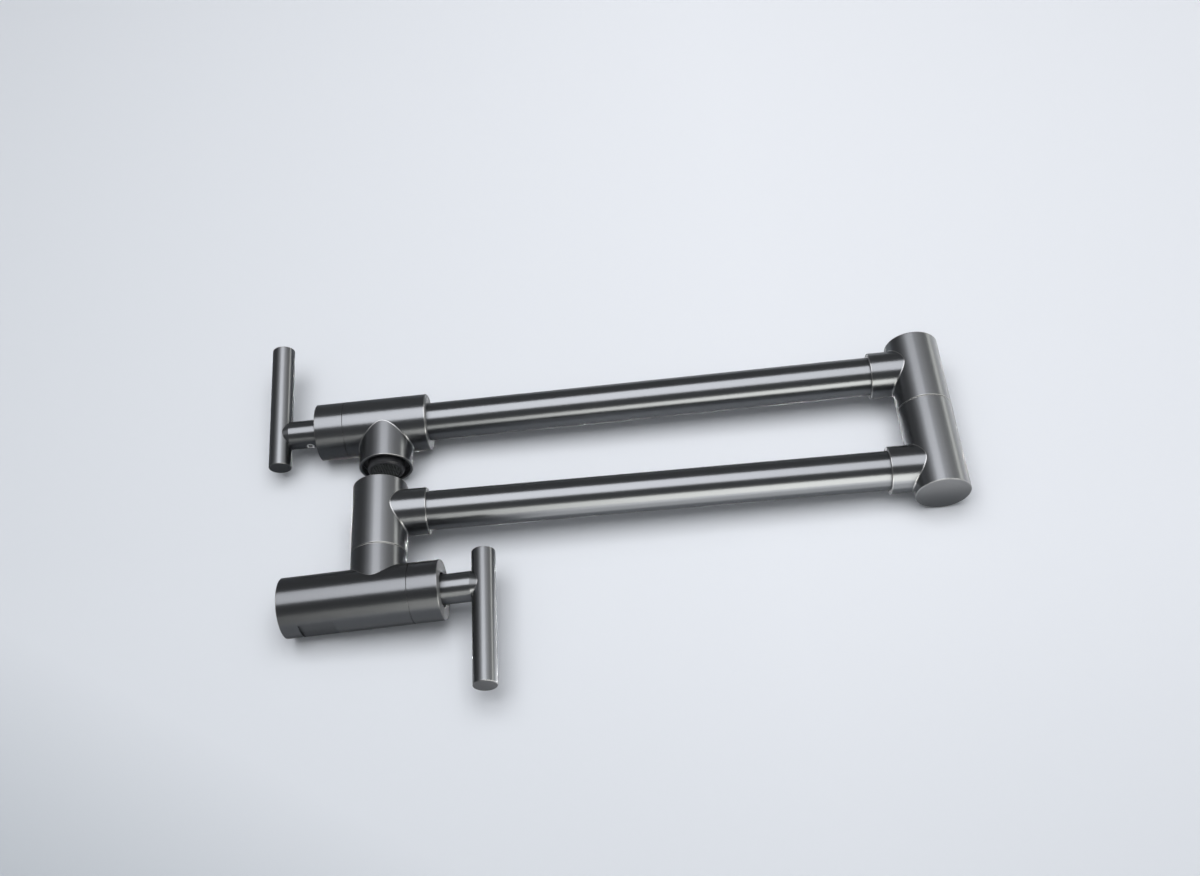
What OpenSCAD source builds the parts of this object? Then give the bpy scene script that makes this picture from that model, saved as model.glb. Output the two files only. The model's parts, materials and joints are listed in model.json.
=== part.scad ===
// Wall mounted pot filler: a valve body at the wall, a lower arm that swings on its riser,
// an upper arm that swings on the elbow, and a second valve over the outlet.
// Origin at the centre of the inlet body's wall end, +X out from the wall, +Z up.
// At rest the upper arm is folded back over the lower one, and both valves are closed.

/* [Arms] */
// Riser axis to elbow axis
lower_arm_l = 283; // [200:1:450]
// Elbow axis to outlet axis
upper_arm_l = 282; // [200:1:450]
// Outer diameter of the arm tubes
tube_d = 20; // [18:0.5:22]
// Wall of the arm tubes
tube_wall = 1.5; // [1:0.1:2]
// Wall of the collars around the tube ends
collar_wall = 2; // [1.5:0.1:2.5]
// Hub axis to the open end of a collar
collar_reach = 25; // [22:0.5:35]
// Depth of the tube's socket in a collar
socket_depth = 11; // [6:0.5:11]

/* [Hubs and swivels] */
// Diameter of the riser, the hubs and the outlet
hub_d = 28; // [27:0.5:32]
// Inlet axis to the top of the riser
riser_h = 22.9; // [21:0.1:40]
// Top of the riser to the lower tube's axis
lower_hub_rise = 23.8; // [22:0.1:40]
// Lower tube's axis to the elbow's seam
elbow_lower_rise = 34.3; // [32:0.1:60]
// Elbow's seam to the upper tube's axis
elbow_upper_rise = 24.7; // [22:0.1:45]
// Tube axis to the closed end of a hub
hub_end_h = 16; // [14:0.1:24]
// Water bore of the hubs
waterway_d = 16; // [12:0.5:16.5]
// Wall of the swivel spigots
spigot_wall = 2; // [1.8:0.1:2.2]
// Length of a spigot that is screwed into its own hub
spigot_seat_l = 10; // [6:0.5:10]
// Length of a spigot that stands in the turning hub
spigot_l = 15; // [15:0.5:17]
// Height of the seam between two hubs
seam_gap = 0.45; // [0.3:0.05:1]

/* [Valve bodies] */
// Diameter of the valve bodies and their bonnet rings
body_d = 30; // [29:0.5:34]
// Wall end to riser axis
wall_to_riser = 47; // [44:0.5:80]
// Riser axis to the seam of the inlet's bonnet ring
riser_to_seam = 17.4; // [16:0.1:22]
// Outlet axis to the seam of the outlet's bonnet ring
outlet_to_seam = 20.9; // [18:0.1:21]
// Outlet axis to the end that the upper tube enters
outlet_to_end = 22.9; // [22.5:0.1:40]
// Upper tube's axis to the mouth of the outlet
outlet_drop = 26.5; // [26:0.1:45]
// Drill diameter of the inlet's half inch pipe thread
inlet_thread_d = 18.64; // [15:0.02:20]
// Length of the inlet's thread
inlet_thread_l = 15; // [10:0.5:18]
// Wall end to the first edge of the spanner flats
flat_start = 9.2; // [5:0.1:12]
// Length of the spanner flats
flat_l = 18; // [8:0.5:20]
// Depth of the spanner flats
flat_depth = 1.5; // [0.8:0.1:2]

/* [Levers] */
// Length of a bonnet ring
bonnet_l = 15.2; // [14:0.1:24]
// Hole for the lever's stem in a bonnet ring
bonnet_hole_d = 17.5; // [16:0.1:19]
// Inlet's bonnet ring to the axis of its lever bar
inlet_lever_reach = 20.1; // [18:0.1:32]
// Outlet's bonnet ring to the axis of its lever bar
outlet_lever_reach = 21.5; // [18:0.1:32]
// Diameter of a lever's stem
stem_d = 15; // [14:0.1:15.5]
// Diameter of a lever bar
bar_d = 12; // [10:0.1:13]
// Stem axis to the far end of a lever bar
bar_long = 53.4; // [30:0.1:80]
// Stem axis to the near end of a lever bar
bar_short = 18.6; // [12:0.1:30]

/* [Rest position] */
// Lower arm from straight out of the wall, in degrees
lower_arm_angle = 4; // [-85:0.5:85]
// Upper arm from fully folded over the lower one, in degrees
elbow_angle = -1.5; // [-90:0.5:90]
// Inlet's lever bar from upright, about its stem, in degrees
inlet_lever_angle = -1.5; // [-10:0.5:10]
// Outlet's lever bar from upright, about its stem, in degrees
outlet_lever_angle = -6; // [-10:0.5:10]

/* [Hidden] */
$fn = 96;

// Colours of the finishes
gunmetal = [0.36, 0.36, 0.37];
brass = [0.78, 0.62, 0.32];
steel = [0.72, 0.73, 0.75];
ceramic = [0.93, 0.92, 0.88];
rubber = [0.08, 0.08, 0.08];
acetal = [0.85, 0.85, 0.82];
black_plastic = [0.05, 0.05, 0.055];
dark_plastic = [0.16, 0.16, 0.17];

// How far a cutting shape runs past the face it cuts
overrun = 1;
// Small bevel on the rims that show
edge_bevel = 0.35;
// Gap all round a piece that turns in a bore
running_gap = 0.05;
// Gap between two flat faces that turn on each other
face_gap = 0.03;
// Gap between a turning seal and its bore
seal_gap = 0.02;

// Swivels: a spigot, two seals, a split clip and a thrust washer
spigot_d = waterway_d + 2 * spigot_wall;
swivel_bore_d = spigot_d + 2 * running_gap;
spigot_end_gap = 0.6;
spigot_bevel = 0.4;
seal_section = 2;
seal_groove_w = 2.4;
seal_first = 8.4;
seal_pitch = 3.8;
clip_start = 3.4;
clip_h = 1.6;
clip_bite = 0.9;
clip_reach = 0.7;
clip_groove_gap = 0.1;
clip_opening = 5;
washer_inset = 0.6;
washer_bore_gap = 0.15;

// Heights above the inlet's axis, and the sizes that follow
lower_tube_z = riser_h + lower_hub_rise;
elbow_seam_z = lower_tube_z + elbow_lower_rise;
upper_tube_z = elbow_seam_z + elbow_upper_rise;
collar_d = tube_d + 2 * collar_wall;
collar_bore_step = 1;
collar_bore_d = waterway_d - collar_bore_step;
waterway_over = 0.8;
inlet_seam_x = wall_to_riser + riser_to_seam;
outlet_socket_depth = 8;
outlet_socket_x = outlet_to_end - outlet_socket_depth;

// Valve bodies and the cartridges in them, measured outwards from the bonnet's seam
bonnet_wall = 2;
nose_l = 5;
nose_d = body_d - 2 * bonnet_wall;
nose_wall = 2.5;
cartridge_thread_d = nose_d - 2 * nose_wall;
cartridge_thread_l = 6;
thread_step = 1.5;
cartridge_d = cartridge_thread_d - 2 * thread_step;
chamber_gap = 0.5;
chamber_d = cartridge_d + 2 * chamber_gap;
cartridge_wall = 1.9;
cartridge_bore_d = cartridge_d - 2 * cartridge_wall;
cavity_top = 12;
disc_clear = 0.3;
fixed_disc_h = 3;
moving_disc_h = 2.5;
disc_hole_d = 3.6;
disc_rim = 1.7;
disc_hole_r = (cartridge_bore_d - disc_hole_d) / 2 - disc_rim;
fork_h = 7.9;
fork_root = 1.5;
fork_wall = 3.3;
fork_slot_w = cartridge_bore_d - 2 * (disc_clear + fork_wall);
fork_z = -cavity_top - face_gap - fork_h;
moving_disc_z = fork_z - moving_disc_h;
fixed_disc_z = moving_disc_z - face_gap - fixed_disc_h;
window_sill = 0.7;
window_h = fork_h - fork_root - window_sill;
window_w = 9;
window_start = cavity_top + fork_root;
seal_lip = 0.5;
cartridge_end = seal_lip - fixed_disc_z;
seat_seal_h = 3.5;
seat_seal_w = 2.1;
seat_depth = cartridge_end + seat_seal_h - seal_lip;
seat_wall = 3;
seat_bore_d = cartridge_bore_d - 2 * seat_seal_w;
passage_d = waterway_d;
hex_gap = 0.3;
hex_h = 3;
neck_d = 12;
neck_h = 1.5;
cartridge_seal_section = 1.8;
cartridge_groove_w = 2;
spindle_d = 8;
spindle_reach = 8.8;
spindle_seal_section = 1.5;
spindle_groove_w = 1.8;
spindle_groove_at = 1;
spindle_bevel = 0.5;
spindle_clip_h = 0.8;
spindle_clip_bite = 0.6;
spindle_clip_d = 11;
spindle_clip_opening = 3;

// Lever: stem, bar and grub screw, measured outwards from the bonnet ring's end
bonnet_front = 3;
bonnet_hole_bevel = 0.4;
stem_inset = 3.9;
stem_bevel = 0.3;
stem_nose_l = 5.8;
stem_nose_d = 9.3;
stem_bore_past = 0.8;
tenon_d = 6;
tenon_back = 1.5;
tenon_reach = 2;
bar_bevel = 0.5;
grub_reach = 5.3;
grub_d = 4;
grub_sunk = 0.3;
grub_key_d = 2.3;
grub_key_depth = 1.5;
grub_mouth_bevel = 0.35;

// Outlet and aerator, measured down from the upper tube's axis
mouth_bore_d = 25.2;
mouth_depth = 3.5;
aerator_d = 24;
aerator_seat_h = 12;
aerator_washer_h = 1.5;
housing_h = aerator_seat_h - aerator_washer_h;
aerator_washer_bore = 18;
aerator_skirt = 4;
aerator_ring_d = 19.2;
aerator_drop = 2.2;
aerator_bore_d = 15.8;
aerator_bevel = 1;
diffuser_d = 21;
diffuser_h = 2;
diffuser_hole_d = 1.6;
diffuser_hole_r = 5;
diffuser_holes = 8;
grid_recess = 0.4;
grid_h = 1;
grid_pitch = 1.3;
grid_hole = 0.9;
grid_rim = 0.7;

// Outline of half a round bar, with a bevel at either end where one is given
function rod_outline(r, h, low, high) = concat(
    [[0, 0]],
    low > 0 ? [[r - low, 0], [r, low]] : [[r, 0]],
    high > 0 ? [[r, h - high], [r - high, h]] : [[r, h]],
    [[0, h]]
);

// Round bar that stands on z = 0
module rod(d, h, low = 0, high = 0) {
    rotate_extrude() polygon(rod_outline(d / 2, h, low, high));
}

// Round hole from z = 0 up to h, open below
module hole_up(d, h) {
    translate([0, 0, -overrun]) cylinder(d = d, h = h + overrun);
}

// Flat ring that stands on z = 0
module ring(outer_d, inner_d, h) {
    difference() {
        cylinder(d = outer_d, h = h);
        translate([0, 0, -overrun]) cylinder(d = inner_d, h = h + 2 * overrun);
    }
}

// Split ring that stands on z = 0
module split_ring(outer_d, inner_d, h, opening) {
    difference() {
        ring(outer_d, inner_d, h);
        translate([0, -opening / 2, -overrun]) cube([outer_d, opening, h + 2 * overrun]);
    }
}

// Round rubber seal that touches a bore, with its middle at z = 0
module seal(bore_d, section, gap) {
    rotate_extrude() translate([bore_d / 2 - gap - section / 2, 0]) circle(d = section, $fn = 32);
}

// Turns a shape that stands on z = 0 to lie along +X
module along_x() {
    rotate([0, 90, 0]) children();
}

// Frame of the lower arm: X along the arm from the riser's axis
module lower_arm_frame() {
    translate([wall_to_riser, 0, 0]) rotate([0, 0, lower_arm_angle]) children();
}

// Frame of the upper arm: X from the outlet's axis towards the elbow
module upper_arm_frame() {
    lower_arm_frame()
        translate([lower_arm_l, 0, 0])
            rotate([0, 0, elbow_angle])
                translate([-upper_arm_l, 0, 0])
                    children();
}

// Frames of the two valves: Z outwards along the stem from the bonnet ring's seam
module inlet_valve_frame() {
    translate([inlet_seam_x, 0, 0]) along_x() children();
}
module outlet_valve_frame() {
    upper_arm_frame()
        translate([-outlet_to_seam, 0, upper_tube_z])
            rotate([0, 0, 180])
                along_x()
                    children();
}

// Frames of the two levers: the long end of the bar lies towards +X
module inlet_lever_frame() {
    inlet_valve_frame() rotate([0, 0, inlet_lever_angle]) children();
}
module outlet_lever_frame() {
    outlet_valve_frame() rotate([0, 0, 180 + outlet_lever_angle]) children();
}

// Frame of a spigot that points up out of its hub, and of one that points down
module riser_swivel_frame() {
    translate([wall_to_riser, 0, riser_h]) children();
}
module elbow_swivel_frame() {
    upper_arm_frame()
        translate([upper_arm_l, 0, elbow_seam_z + seam_gap])
            mirror([0, 0, 1])
                children();
}

// Spigot, from its screwed seat below z = 0 to its free end above
module spigot() {
    clip_groove_d = spigot_d - 2 * clip_bite;
    seal_groove_d = swivel_bore_d - 2 * (seal_gap + seal_section);
    color(brass) difference() {
        translate([0, 0, -spigot_seat_l])
            rod(spigot_d, spigot_seat_l + spigot_l, 0, spigot_bevel);
        translate([0, 0, -spigot_seat_l]) hole_up(waterway_d, spigot_seat_l + spigot_l + overrun);
        translate([0, 0, clip_start]) ring(spigot_d + 2 * overrun, clip_groove_d, clip_h);
        for (i = [0, 1])
            translate([0, 0, seal_first + i * seal_pitch - seal_groove_w / 2])
                ring(spigot_d + 2 * overrun, seal_groove_d, seal_groove_w);
    }
}

module swivel_seals() {
    color(rubber) for (i = [0, 1])
        translate([0, 0, seal_first + i * seal_pitch])
            seal(swivel_bore_d, seal_section, seal_gap);
}

module swivel_clip() {
    color(acetal) translate([0, 0, clip_start])
        split_ring(swivel_bore_d + 2 * clip_reach, spigot_d - 2 * clip_bite, clip_h, clip_opening);
}

// Bore of a hub that turns on a spigot, with the groove that the split clip runs in
module swivel_bore() {
    hole_up(swivel_bore_d, spigot_l + spigot_end_gap);
    translate([0, 0, clip_start - clip_groove_gap])
        cylinder(d = swivel_bore_d + 2 * (clip_reach + clip_groove_gap), h = clip_h + 2 * clip_groove_gap);
}

// Thrust washer between two hubs, on the face below it
module swivel_washer() {
    color(acetal) ring(hub_d - 2 * washer_inset, spigot_d + 2 * washer_bore_gap, seam_gap - face_gap);
}

// Collar from a hub's axis outwards along +X
module collar() {
    along_x() rod(collar_d, collar_reach, 0, edge_bevel);
}

// Water bore of a collar and the socket for its tube
module collar_bore() {
    along_x() cylinder(d = collar_bore_d, h = collar_reach);
    translate([collar_reach - socket_depth, 0, 0])
        along_x()
            cylinder(d = tube_d, h = socket_depth + overrun);
}

// Arm tube along +X from x = 0
module arm_tube(l) {
    along_x() ring(tube_d, tube_d - 2 * tube_wall, l);
}

// Chamber of a valve body, in the valve's frame: thread, chamber, seat and the passage behind it
module valve_chamber(passage_end) {
    translate([0, 0, -cartridge_thread_l])
        cylinder(d = cartridge_thread_d, h = cartridge_thread_l + nose_l + overrun);
    translate([0, 0, -seat_depth]) cylinder(d = chamber_d, h = seat_depth);
    translate([0, 0, -seat_depth - seat_wall - overrun])
        cylinder(d = seat_bore_d, h = seat_wall + 2 * overrun);
    translate([0, 0, -passage_end]) hole_up(passage_d, passage_end - seat_depth - seat_wall);
}

// Cartridge housing: screwed collar, hexagon, neck, windows and disc bore
module cartridge_body() {
    hex_d = nose_d - 2 * hex_gap;
    groove_d = cartridge_thread_d - 2 * cartridge_seal_section;
    color(brass) difference() {
        union() {
            translate([0, 0, -cartridge_end]) cylinder(d = cartridge_d, h = cartridge_end);
            translate([0, 0, -cartridge_thread_l]) cylinder(d = cartridge_thread_d, h = cartridge_thread_l + nose_l);
            translate([0, 0, nose_l]) cylinder(d = hex_d, h = hex_h, $fn = 6);
            translate([0, 0, nose_l + hex_h]) cylinder(d = neck_d, h = neck_h);
        }
        translate([0, 0, -cartridge_end]) hole_up(cartridge_bore_d, cartridge_end - cavity_top);
        translate([0, 0, -cavity_top])
            hole_up(spindle_d + 2 * running_gap, cavity_top + nose_l + hex_h + neck_h + overrun);
        translate([-cartridge_d, -window_w / 2, -window_start - window_h])
            cube([2 * cartridge_d, window_w, window_h]);
        translate([0, 0, nose_l - cartridge_groove_w])
            ring(cartridge_thread_d + 2 * overrun, groove_d, cartridge_groove_w);
    }
}

module cartridge_seal() {
    color(rubber) translate([0, 0, nose_l - cartridge_groove_w / 2])
        seal(cartridge_thread_d, cartridge_seal_section, 0);
}

// Ceramic disc with two water holes, standing on z = 0
module ceramic_disc(d, h) {
    color(ceramic) difference() {
        cylinder(d = d, h = h);
        for (side = [-1, 1])
            translate([0, side * disc_hole_r, -overrun])
                cylinder(d = disc_hole_d, h = h + 2 * overrun);
    }
}

// The fixed disc's holes lie across the moving disc's while the valve is closed
module fixed_disc() {
    translate([0, 0, fixed_disc_z]) rotate([0, 0, 90]) ceramic_disc(cartridge_bore_d, fixed_disc_h);
}

module moving_disc() {
    translate([0, 0, moving_disc_z]) ceramic_disc(cartridge_bore_d - 2 * disc_clear, moving_disc_h);
}

module seat_seal() {
    color(rubber) translate([0, 0, -seat_depth]) ring(cartridge_bore_d, seat_bore_d, seat_seal_h);
}

// Spindle: the fork that turns the disc, the shaft, its seal groove and its clip groove
module spindle() {
    seal_groove_d = spindle_d + 2 * (running_gap - seal_gap - spindle_seal_section);
    color(brass) difference() {
        union() {
            translate([0, 0, fork_z]) cylinder(d = cartridge_bore_d - 2 * disc_clear, h = fork_h);
            translate([0, 0, fork_z + fork_h - fork_root])
                rod(spindle_d, bonnet_l + spindle_reach - fork_z - fork_h + fork_root, 0, spindle_bevel);
        }
        translate([-fork_slot_w / 2, -cartridge_d, fork_z - overrun])
            cube([fork_slot_w, 2 * cartridge_d, fork_h - fork_root + overrun]);
        translate([0, 0, spindle_groove_at])
            ring(spindle_d + 2 * overrun, seal_groove_d, spindle_groove_w);
        translate([0, 0, nose_l + hex_h + neck_h + face_gap])
            ring(spindle_d + 2 * overrun, spindle_d - 2 * spindle_clip_bite, spindle_clip_h);
    }
}

module spindle_seal() {
    color(rubber) translate([0, 0, spindle_groove_at + spindle_groove_w / 2])
        seal(spindle_d + 2 * running_gap, spindle_seal_section, seal_gap);
}

module spindle_clip() {
    color(steel) translate([0, 0, nose_l + hex_h + neck_h + face_gap])
        split_ring(spindle_clip_d, spindle_d - 2 * spindle_clip_bite, spindle_clip_h, spindle_clip_opening);
}

module bonnet_ring() {
    color(gunmetal) difference() {
        rod(body_d, bonnet_l, edge_bevel, edge_bevel);
        hole_up(nose_d, bonnet_l - bonnet_front);
        translate([0, 0, bonnet_l - bonnet_front - overrun])
            cylinder(d = bonnet_hole_d, h = bonnet_front + 2 * overrun);
        translate([0, 0, bonnet_l - bonnet_hole_bevel])
            cylinder(d1 = bonnet_hole_d, d2 = bonnet_hole_d + 2 * (bonnet_hole_bevel + overrun),
                     h = bonnet_hole_bevel + overrun);
    }
}

// Stem: bored for the spindle, pointed where it wraps the bar, with a tenon into the bar
module lever_stem(reach) {
    bar_z = bonnet_l + reach;
    stem_z = bonnet_l - stem_inset;
    bore_h = stem_inset + spindle_reach + stem_bore_past;
    color(gunmetal) difference() {
        union() {
            translate([0, 0, stem_z]) rod(stem_d, bar_z - stem_nose_l - stem_z, stem_bevel, 0);
            translate([0, 0, bar_z - stem_nose_l]) cylinder(d1 = stem_d, d2 = stem_nose_d, h = stem_nose_l);
        }
        translate([-stem_d, 0, bar_z]) along_x() cylinder(d = bar_d, h = 2 * stem_d);
        translate([0, 0, stem_z]) hole_up(spindle_d, bore_h);
        translate([0, 0, bonnet_l + grub_reach]) rotate([0, -90, 0]) {
            cylinder(d = grub_d, h = stem_d);
            translate([0, 0, stem_d / 2 - grub_mouth_bevel])
                cylinder(d1 = grub_d, d2 = grub_d + 2 * (grub_mouth_bevel + overrun),
                         h = grub_mouth_bevel + overrun);
        }
    }
    color(gunmetal) translate([0, 0, bar_z - bar_d / 2 - tenon_back])
        cylinder(d = tenon_d, h = tenon_back + bar_d / 2 + tenon_reach);
}

module lever_bar(reach) {
    bar_z = bonnet_l + reach;
    color(gunmetal) difference() {
        translate([-bar_short, 0, bar_z]) along_x() rod(bar_d, bar_short + bar_long, bar_bevel, bar_bevel);
        translate([0, 0, bar_z - bar_d / 2]) hole_up(tenon_d, bar_d / 2 + tenon_reach);
    }
}

module grub_screw() {
    h = (stem_d - spindle_d) / 2 - grub_sunk;
    color(steel) translate([0, 0, bonnet_l + grub_reach])
        rotate([0, -90, 0])
            translate([0, 0, spindle_d / 2])
                difference() {
                    cylinder(d = grub_d, h = h);
                    translate([0, 0, h - grub_key_depth])
                        cylinder(d = grub_key_d, h = grub_key_depth + overrun, $fn = 6);
                }
}

// Inlet valve body with its riser, spanner flats and pipe thread
module inlet_body() {
    color(gunmetal) difference() {
        union() {
            along_x() rod(body_d, inlet_seam_x, edge_bevel, edge_bevel);
            inlet_valve_frame() cylinder(d = nose_d, h = nose_l);
            translate([wall_to_riser, 0, 0]) rod(hub_d, riser_h, 0, edge_bevel);
        }
        inlet_valve_frame() valve_chamber(inlet_seam_x - inlet_thread_l);
        along_x() hole_up(inlet_thread_d, inlet_thread_l);
        translate([wall_to_riser, 0, 0]) cylinder(d = waterway_d, h = riser_h);
        translate([wall_to_riser, 0, riser_h - spigot_seat_l])
            cylinder(d = spigot_d, h = spigot_seat_l + overrun);
        for (side = [0, 180])
            rotate([side, 0, 0])
                translate([flat_start, -body_d / 2, body_d / 2 - flat_depth])
                    cube([flat_l, body_d, body_d]);
    }
}

// Hub that turns on the riser, with its collar
module lower_hub() {
    h = lower_hub_rise + hub_end_h - seam_gap;
    color(gunmetal) lower_arm_frame() difference() {
        union() {
            translate([0, 0, riser_h + seam_gap]) rod(hub_d, h, edge_bevel, edge_bevel);
            translate([0, 0, lower_tube_z]) collar();
        }
        translate([0, 0, riser_h]) swivel_bore();
        translate([0, 0, riser_h]) hole_up(waterway_d, lower_hub_rise + waterway_d / 2 + waterway_over);
        translate([0, 0, lower_tube_z]) collar_bore();
    }
}

// Lower half of the elbow, with a collar towards the wall
module elbow_lower_hub() {
    h = hub_end_h + elbow_lower_rise;
    color(gunmetal) lower_arm_frame() translate([lower_arm_l, 0, 0]) difference() {
        union() {
            translate([0, 0, lower_tube_z - hub_end_h]) rod(hub_d, h, edge_bevel, edge_bevel);
            translate([0, 0, lower_tube_z]) rotate([0, 0, 180]) collar();
        }
        translate([0, 0, elbow_seam_z + seam_gap]) mirror([0, 0, 1]) {
            swivel_bore();
            hole_up(waterway_d, elbow_lower_rise + seam_gap + waterway_d / 2 + waterway_over);
        }
        translate([0, 0, lower_tube_z]) rotate([0, 0, 180]) collar_bore();
    }
}

// Upper half of the elbow, with a collar towards the outlet
module elbow_upper_hub() {
    h = elbow_upper_rise + hub_end_h - seam_gap;
    color(gunmetal) upper_arm_frame() translate([upper_arm_l, 0, 0]) difference() {
        union() {
            translate([0, 0, elbow_seam_z + seam_gap]) rod(hub_d, h, edge_bevel, edge_bevel);
            translate([0, 0, upper_tube_z]) rotate([0, 0, 180]) collar();
        }
        translate([0, 0, elbow_seam_z + seam_gap]) {
            hole_up(spigot_d, spigot_seat_l);
            hole_up(waterway_d, elbow_upper_rise - seam_gap + waterway_d / 2 + waterway_over);
        }
        translate([0, 0, upper_tube_z]) rotate([0, 0, 180]) collar_bore();
    }
}

module lower_tube() {
    socket_end = collar_reach - socket_depth;
    color(gunmetal) lower_arm_frame()
        translate([socket_end, 0, lower_tube_z])
            arm_tube(lower_arm_l - 2 * socket_end);
}

module upper_tube() {
    color(gunmetal) upper_arm_frame()
        translate([outlet_socket_x, 0, upper_tube_z])
            arm_tube(upper_arm_l - collar_reach + socket_depth - outlet_socket_x);
}

// Outlet valve body with its downward outlet
module outlet_body() {
    color(gunmetal) difference() {
        union() {
            outlet_valve_frame() {
                translate([0, 0, -outlet_to_seam - outlet_to_end])
                    rod(body_d, outlet_to_seam + outlet_to_end, edge_bevel, edge_bevel);
                cylinder(d = nose_d, h = nose_l);
            }
            upper_arm_frame() translate([0, 0, upper_tube_z - outlet_drop]) rod(hub_d, outlet_drop, edge_bevel, 0);
        }
        outlet_valve_frame() valve_chamber(outlet_to_seam + outlet_socket_x);
        upper_arm_frame() {
            translate([outlet_socket_x, 0, upper_tube_z])
                along_x()
                    cylinder(d = tube_d, h = outlet_socket_depth + overrun);
            translate([0, 0, upper_tube_z - outlet_drop]) {
                cylinder(d = waterway_d, h = outlet_drop);
                hole_up(aerator_d, aerator_seat_h);
                hole_up(mouth_bore_d, mouth_depth);
            }
        }
    }
}

// Frame of the aerator: Z up from the mouth of the outlet
module aerator_frame() {
    upper_arm_frame() translate([0, 0, upper_tube_z - outlet_drop]) children();
}

module aerator_washer() {
    color(rubber) aerator_frame() translate([0, 0, housing_h])
        ring(aerator_d, aerator_washer_bore, aerator_washer_h);
}

// Screwed ring that carries the diffuser and the grid
module aerator_housing() {
    color(black_plastic) aerator_frame() difference() {
        union() {
            translate([0, 0, aerator_skirt]) cylinder(d = aerator_d, h = housing_h - aerator_skirt);
            translate([0, 0, -aerator_drop])
                rod(aerator_ring_d, housing_h + aerator_drop, aerator_bevel, 0);
        }
        translate([0, 0, -aerator_drop]) hole_up(aerator_bore_d, aerator_drop + housing_h + overrun);
        translate([0, 0, housing_h - diffuser_h]) cylinder(d = diffuser_d, h = diffuser_h + overrun);
    }
}

module aerator_diffuser() {
    color(acetal) aerator_frame() translate([0, 0, housing_h - diffuser_h]) difference() {
        cylinder(d = diffuser_d, h = diffuser_h);
        for (i = [0 : diffuser_holes - 1])
            rotate([0, 0, i * 360 / diffuser_holes])
                translate([diffuser_hole_r, 0, -overrun])
                    cylinder(d = diffuser_hole_d, h = diffuser_h + 2 * overrun);
    }
}

// Square grid at the mouth of the aerator
module aerator_grid() {
    reach = aerator_bore_d / 2 - grid_rim;
    count = floor(reach / grid_pitch);
    color(dark_plastic) aerator_frame() translate([0, 0, grid_recess - aerator_drop]) difference() {
        cylinder(d = aerator_bore_d, h = grid_h);
        for (i = [-count : count])
            for (j = [-count : count])
                if (norm([abs(i) * grid_pitch + grid_hole / 2, abs(j) * grid_pitch + grid_hole / 2]) < reach)
                    translate([i * grid_pitch, j * grid_pitch, grid_h / 2])
                        cube([grid_hole, grid_hole, grid_h + 2 * overrun], center = true);
    }
}

inlet_body();
riser_swivel_frame() spigot();  // riser_spigot
riser_swivel_frame() swivel_seals();  // riser_o_rings
riser_swivel_frame() swivel_clip();  // riser_clip
riser_swivel_frame() swivel_washer();  // riser_washer
inlet_valve_frame() cartridge_body();  // inlet_cartridge_body
inlet_valve_frame() cartridge_seal();  // inlet_cartridge_o_ring
inlet_valve_frame() fixed_disc();  // inlet_fixed_disc
inlet_valve_frame() seat_seal();  // inlet_seat_seal
inlet_valve_frame() bonnet_ring();  // inlet_bonnet_ring
inlet_lever_frame() spindle();  // inlet_spindle
inlet_lever_frame() spindle_seal();  // inlet_spindle_o_ring
inlet_lever_frame() spindle_clip();  // inlet_spindle_clip
inlet_lever_frame() moving_disc();  // inlet_moving_disc
inlet_lever_frame() lever_stem(inlet_lever_reach);  // inlet_lever_stem
inlet_lever_frame() lever_bar(inlet_lever_reach);  // inlet_lever_bar
inlet_lever_frame() grub_screw();  // inlet_grub_screw
lower_hub();
lower_tube();
elbow_lower_hub();
lower_arm_frame() translate([lower_arm_l, 0, elbow_seam_z]) swivel_washer();  // elbow_washer
elbow_swivel_frame() spigot();  // elbow_spigot
elbow_swivel_frame() swivel_seals();  // elbow_o_rings
elbow_swivel_frame() swivel_clip();  // elbow_clip
elbow_upper_hub();
upper_tube();
outlet_body();
outlet_valve_frame() cartridge_body();  // outlet_cartridge_body
outlet_valve_frame() cartridge_seal();  // outlet_cartridge_o_ring
outlet_valve_frame() fixed_disc();  // outlet_fixed_disc
outlet_valve_frame() seat_seal();  // outlet_seat_seal
outlet_valve_frame() bonnet_ring();  // outlet_bonnet_ring
outlet_lever_frame() spindle();  // outlet_spindle
outlet_lever_frame() spindle_seal();  // outlet_spindle_o_ring
outlet_lever_frame() spindle_clip();  // outlet_spindle_clip
outlet_lever_frame() moving_disc();  // outlet_moving_disc
outlet_lever_frame() lever_stem(outlet_lever_reach);  // outlet_lever_stem
outlet_lever_frame() lever_bar(outlet_lever_reach);  // outlet_lever_bar
outlet_lever_frame() grub_screw();  // outlet_grub_screw
aerator_washer();
aerator_diffuser();
aerator_housing();
aerator_grid();
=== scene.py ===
# %% [markdown]
# # A wall mounted pot filler in brushed gunmetal
# A pot filler is a cold water tap over a hob. Water comes out of the wall into a valve body, climbs a
# riser, and runs through two arms that fold over each other to a second valve and a short outlet with an
# aerator. Nearly all that shows is turned brass with one dark, brushed, vapour coated finish. Turned parts
# are the easiest shapes to state exactly, so this lesson builds each one from its profile, and spends the
# rest of its effort on the finish and on the light that a brushed cylinder needs.

# %% Load the frame
import json
import math
import bpy
import numpy as np
from mathutils import Matrix


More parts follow.
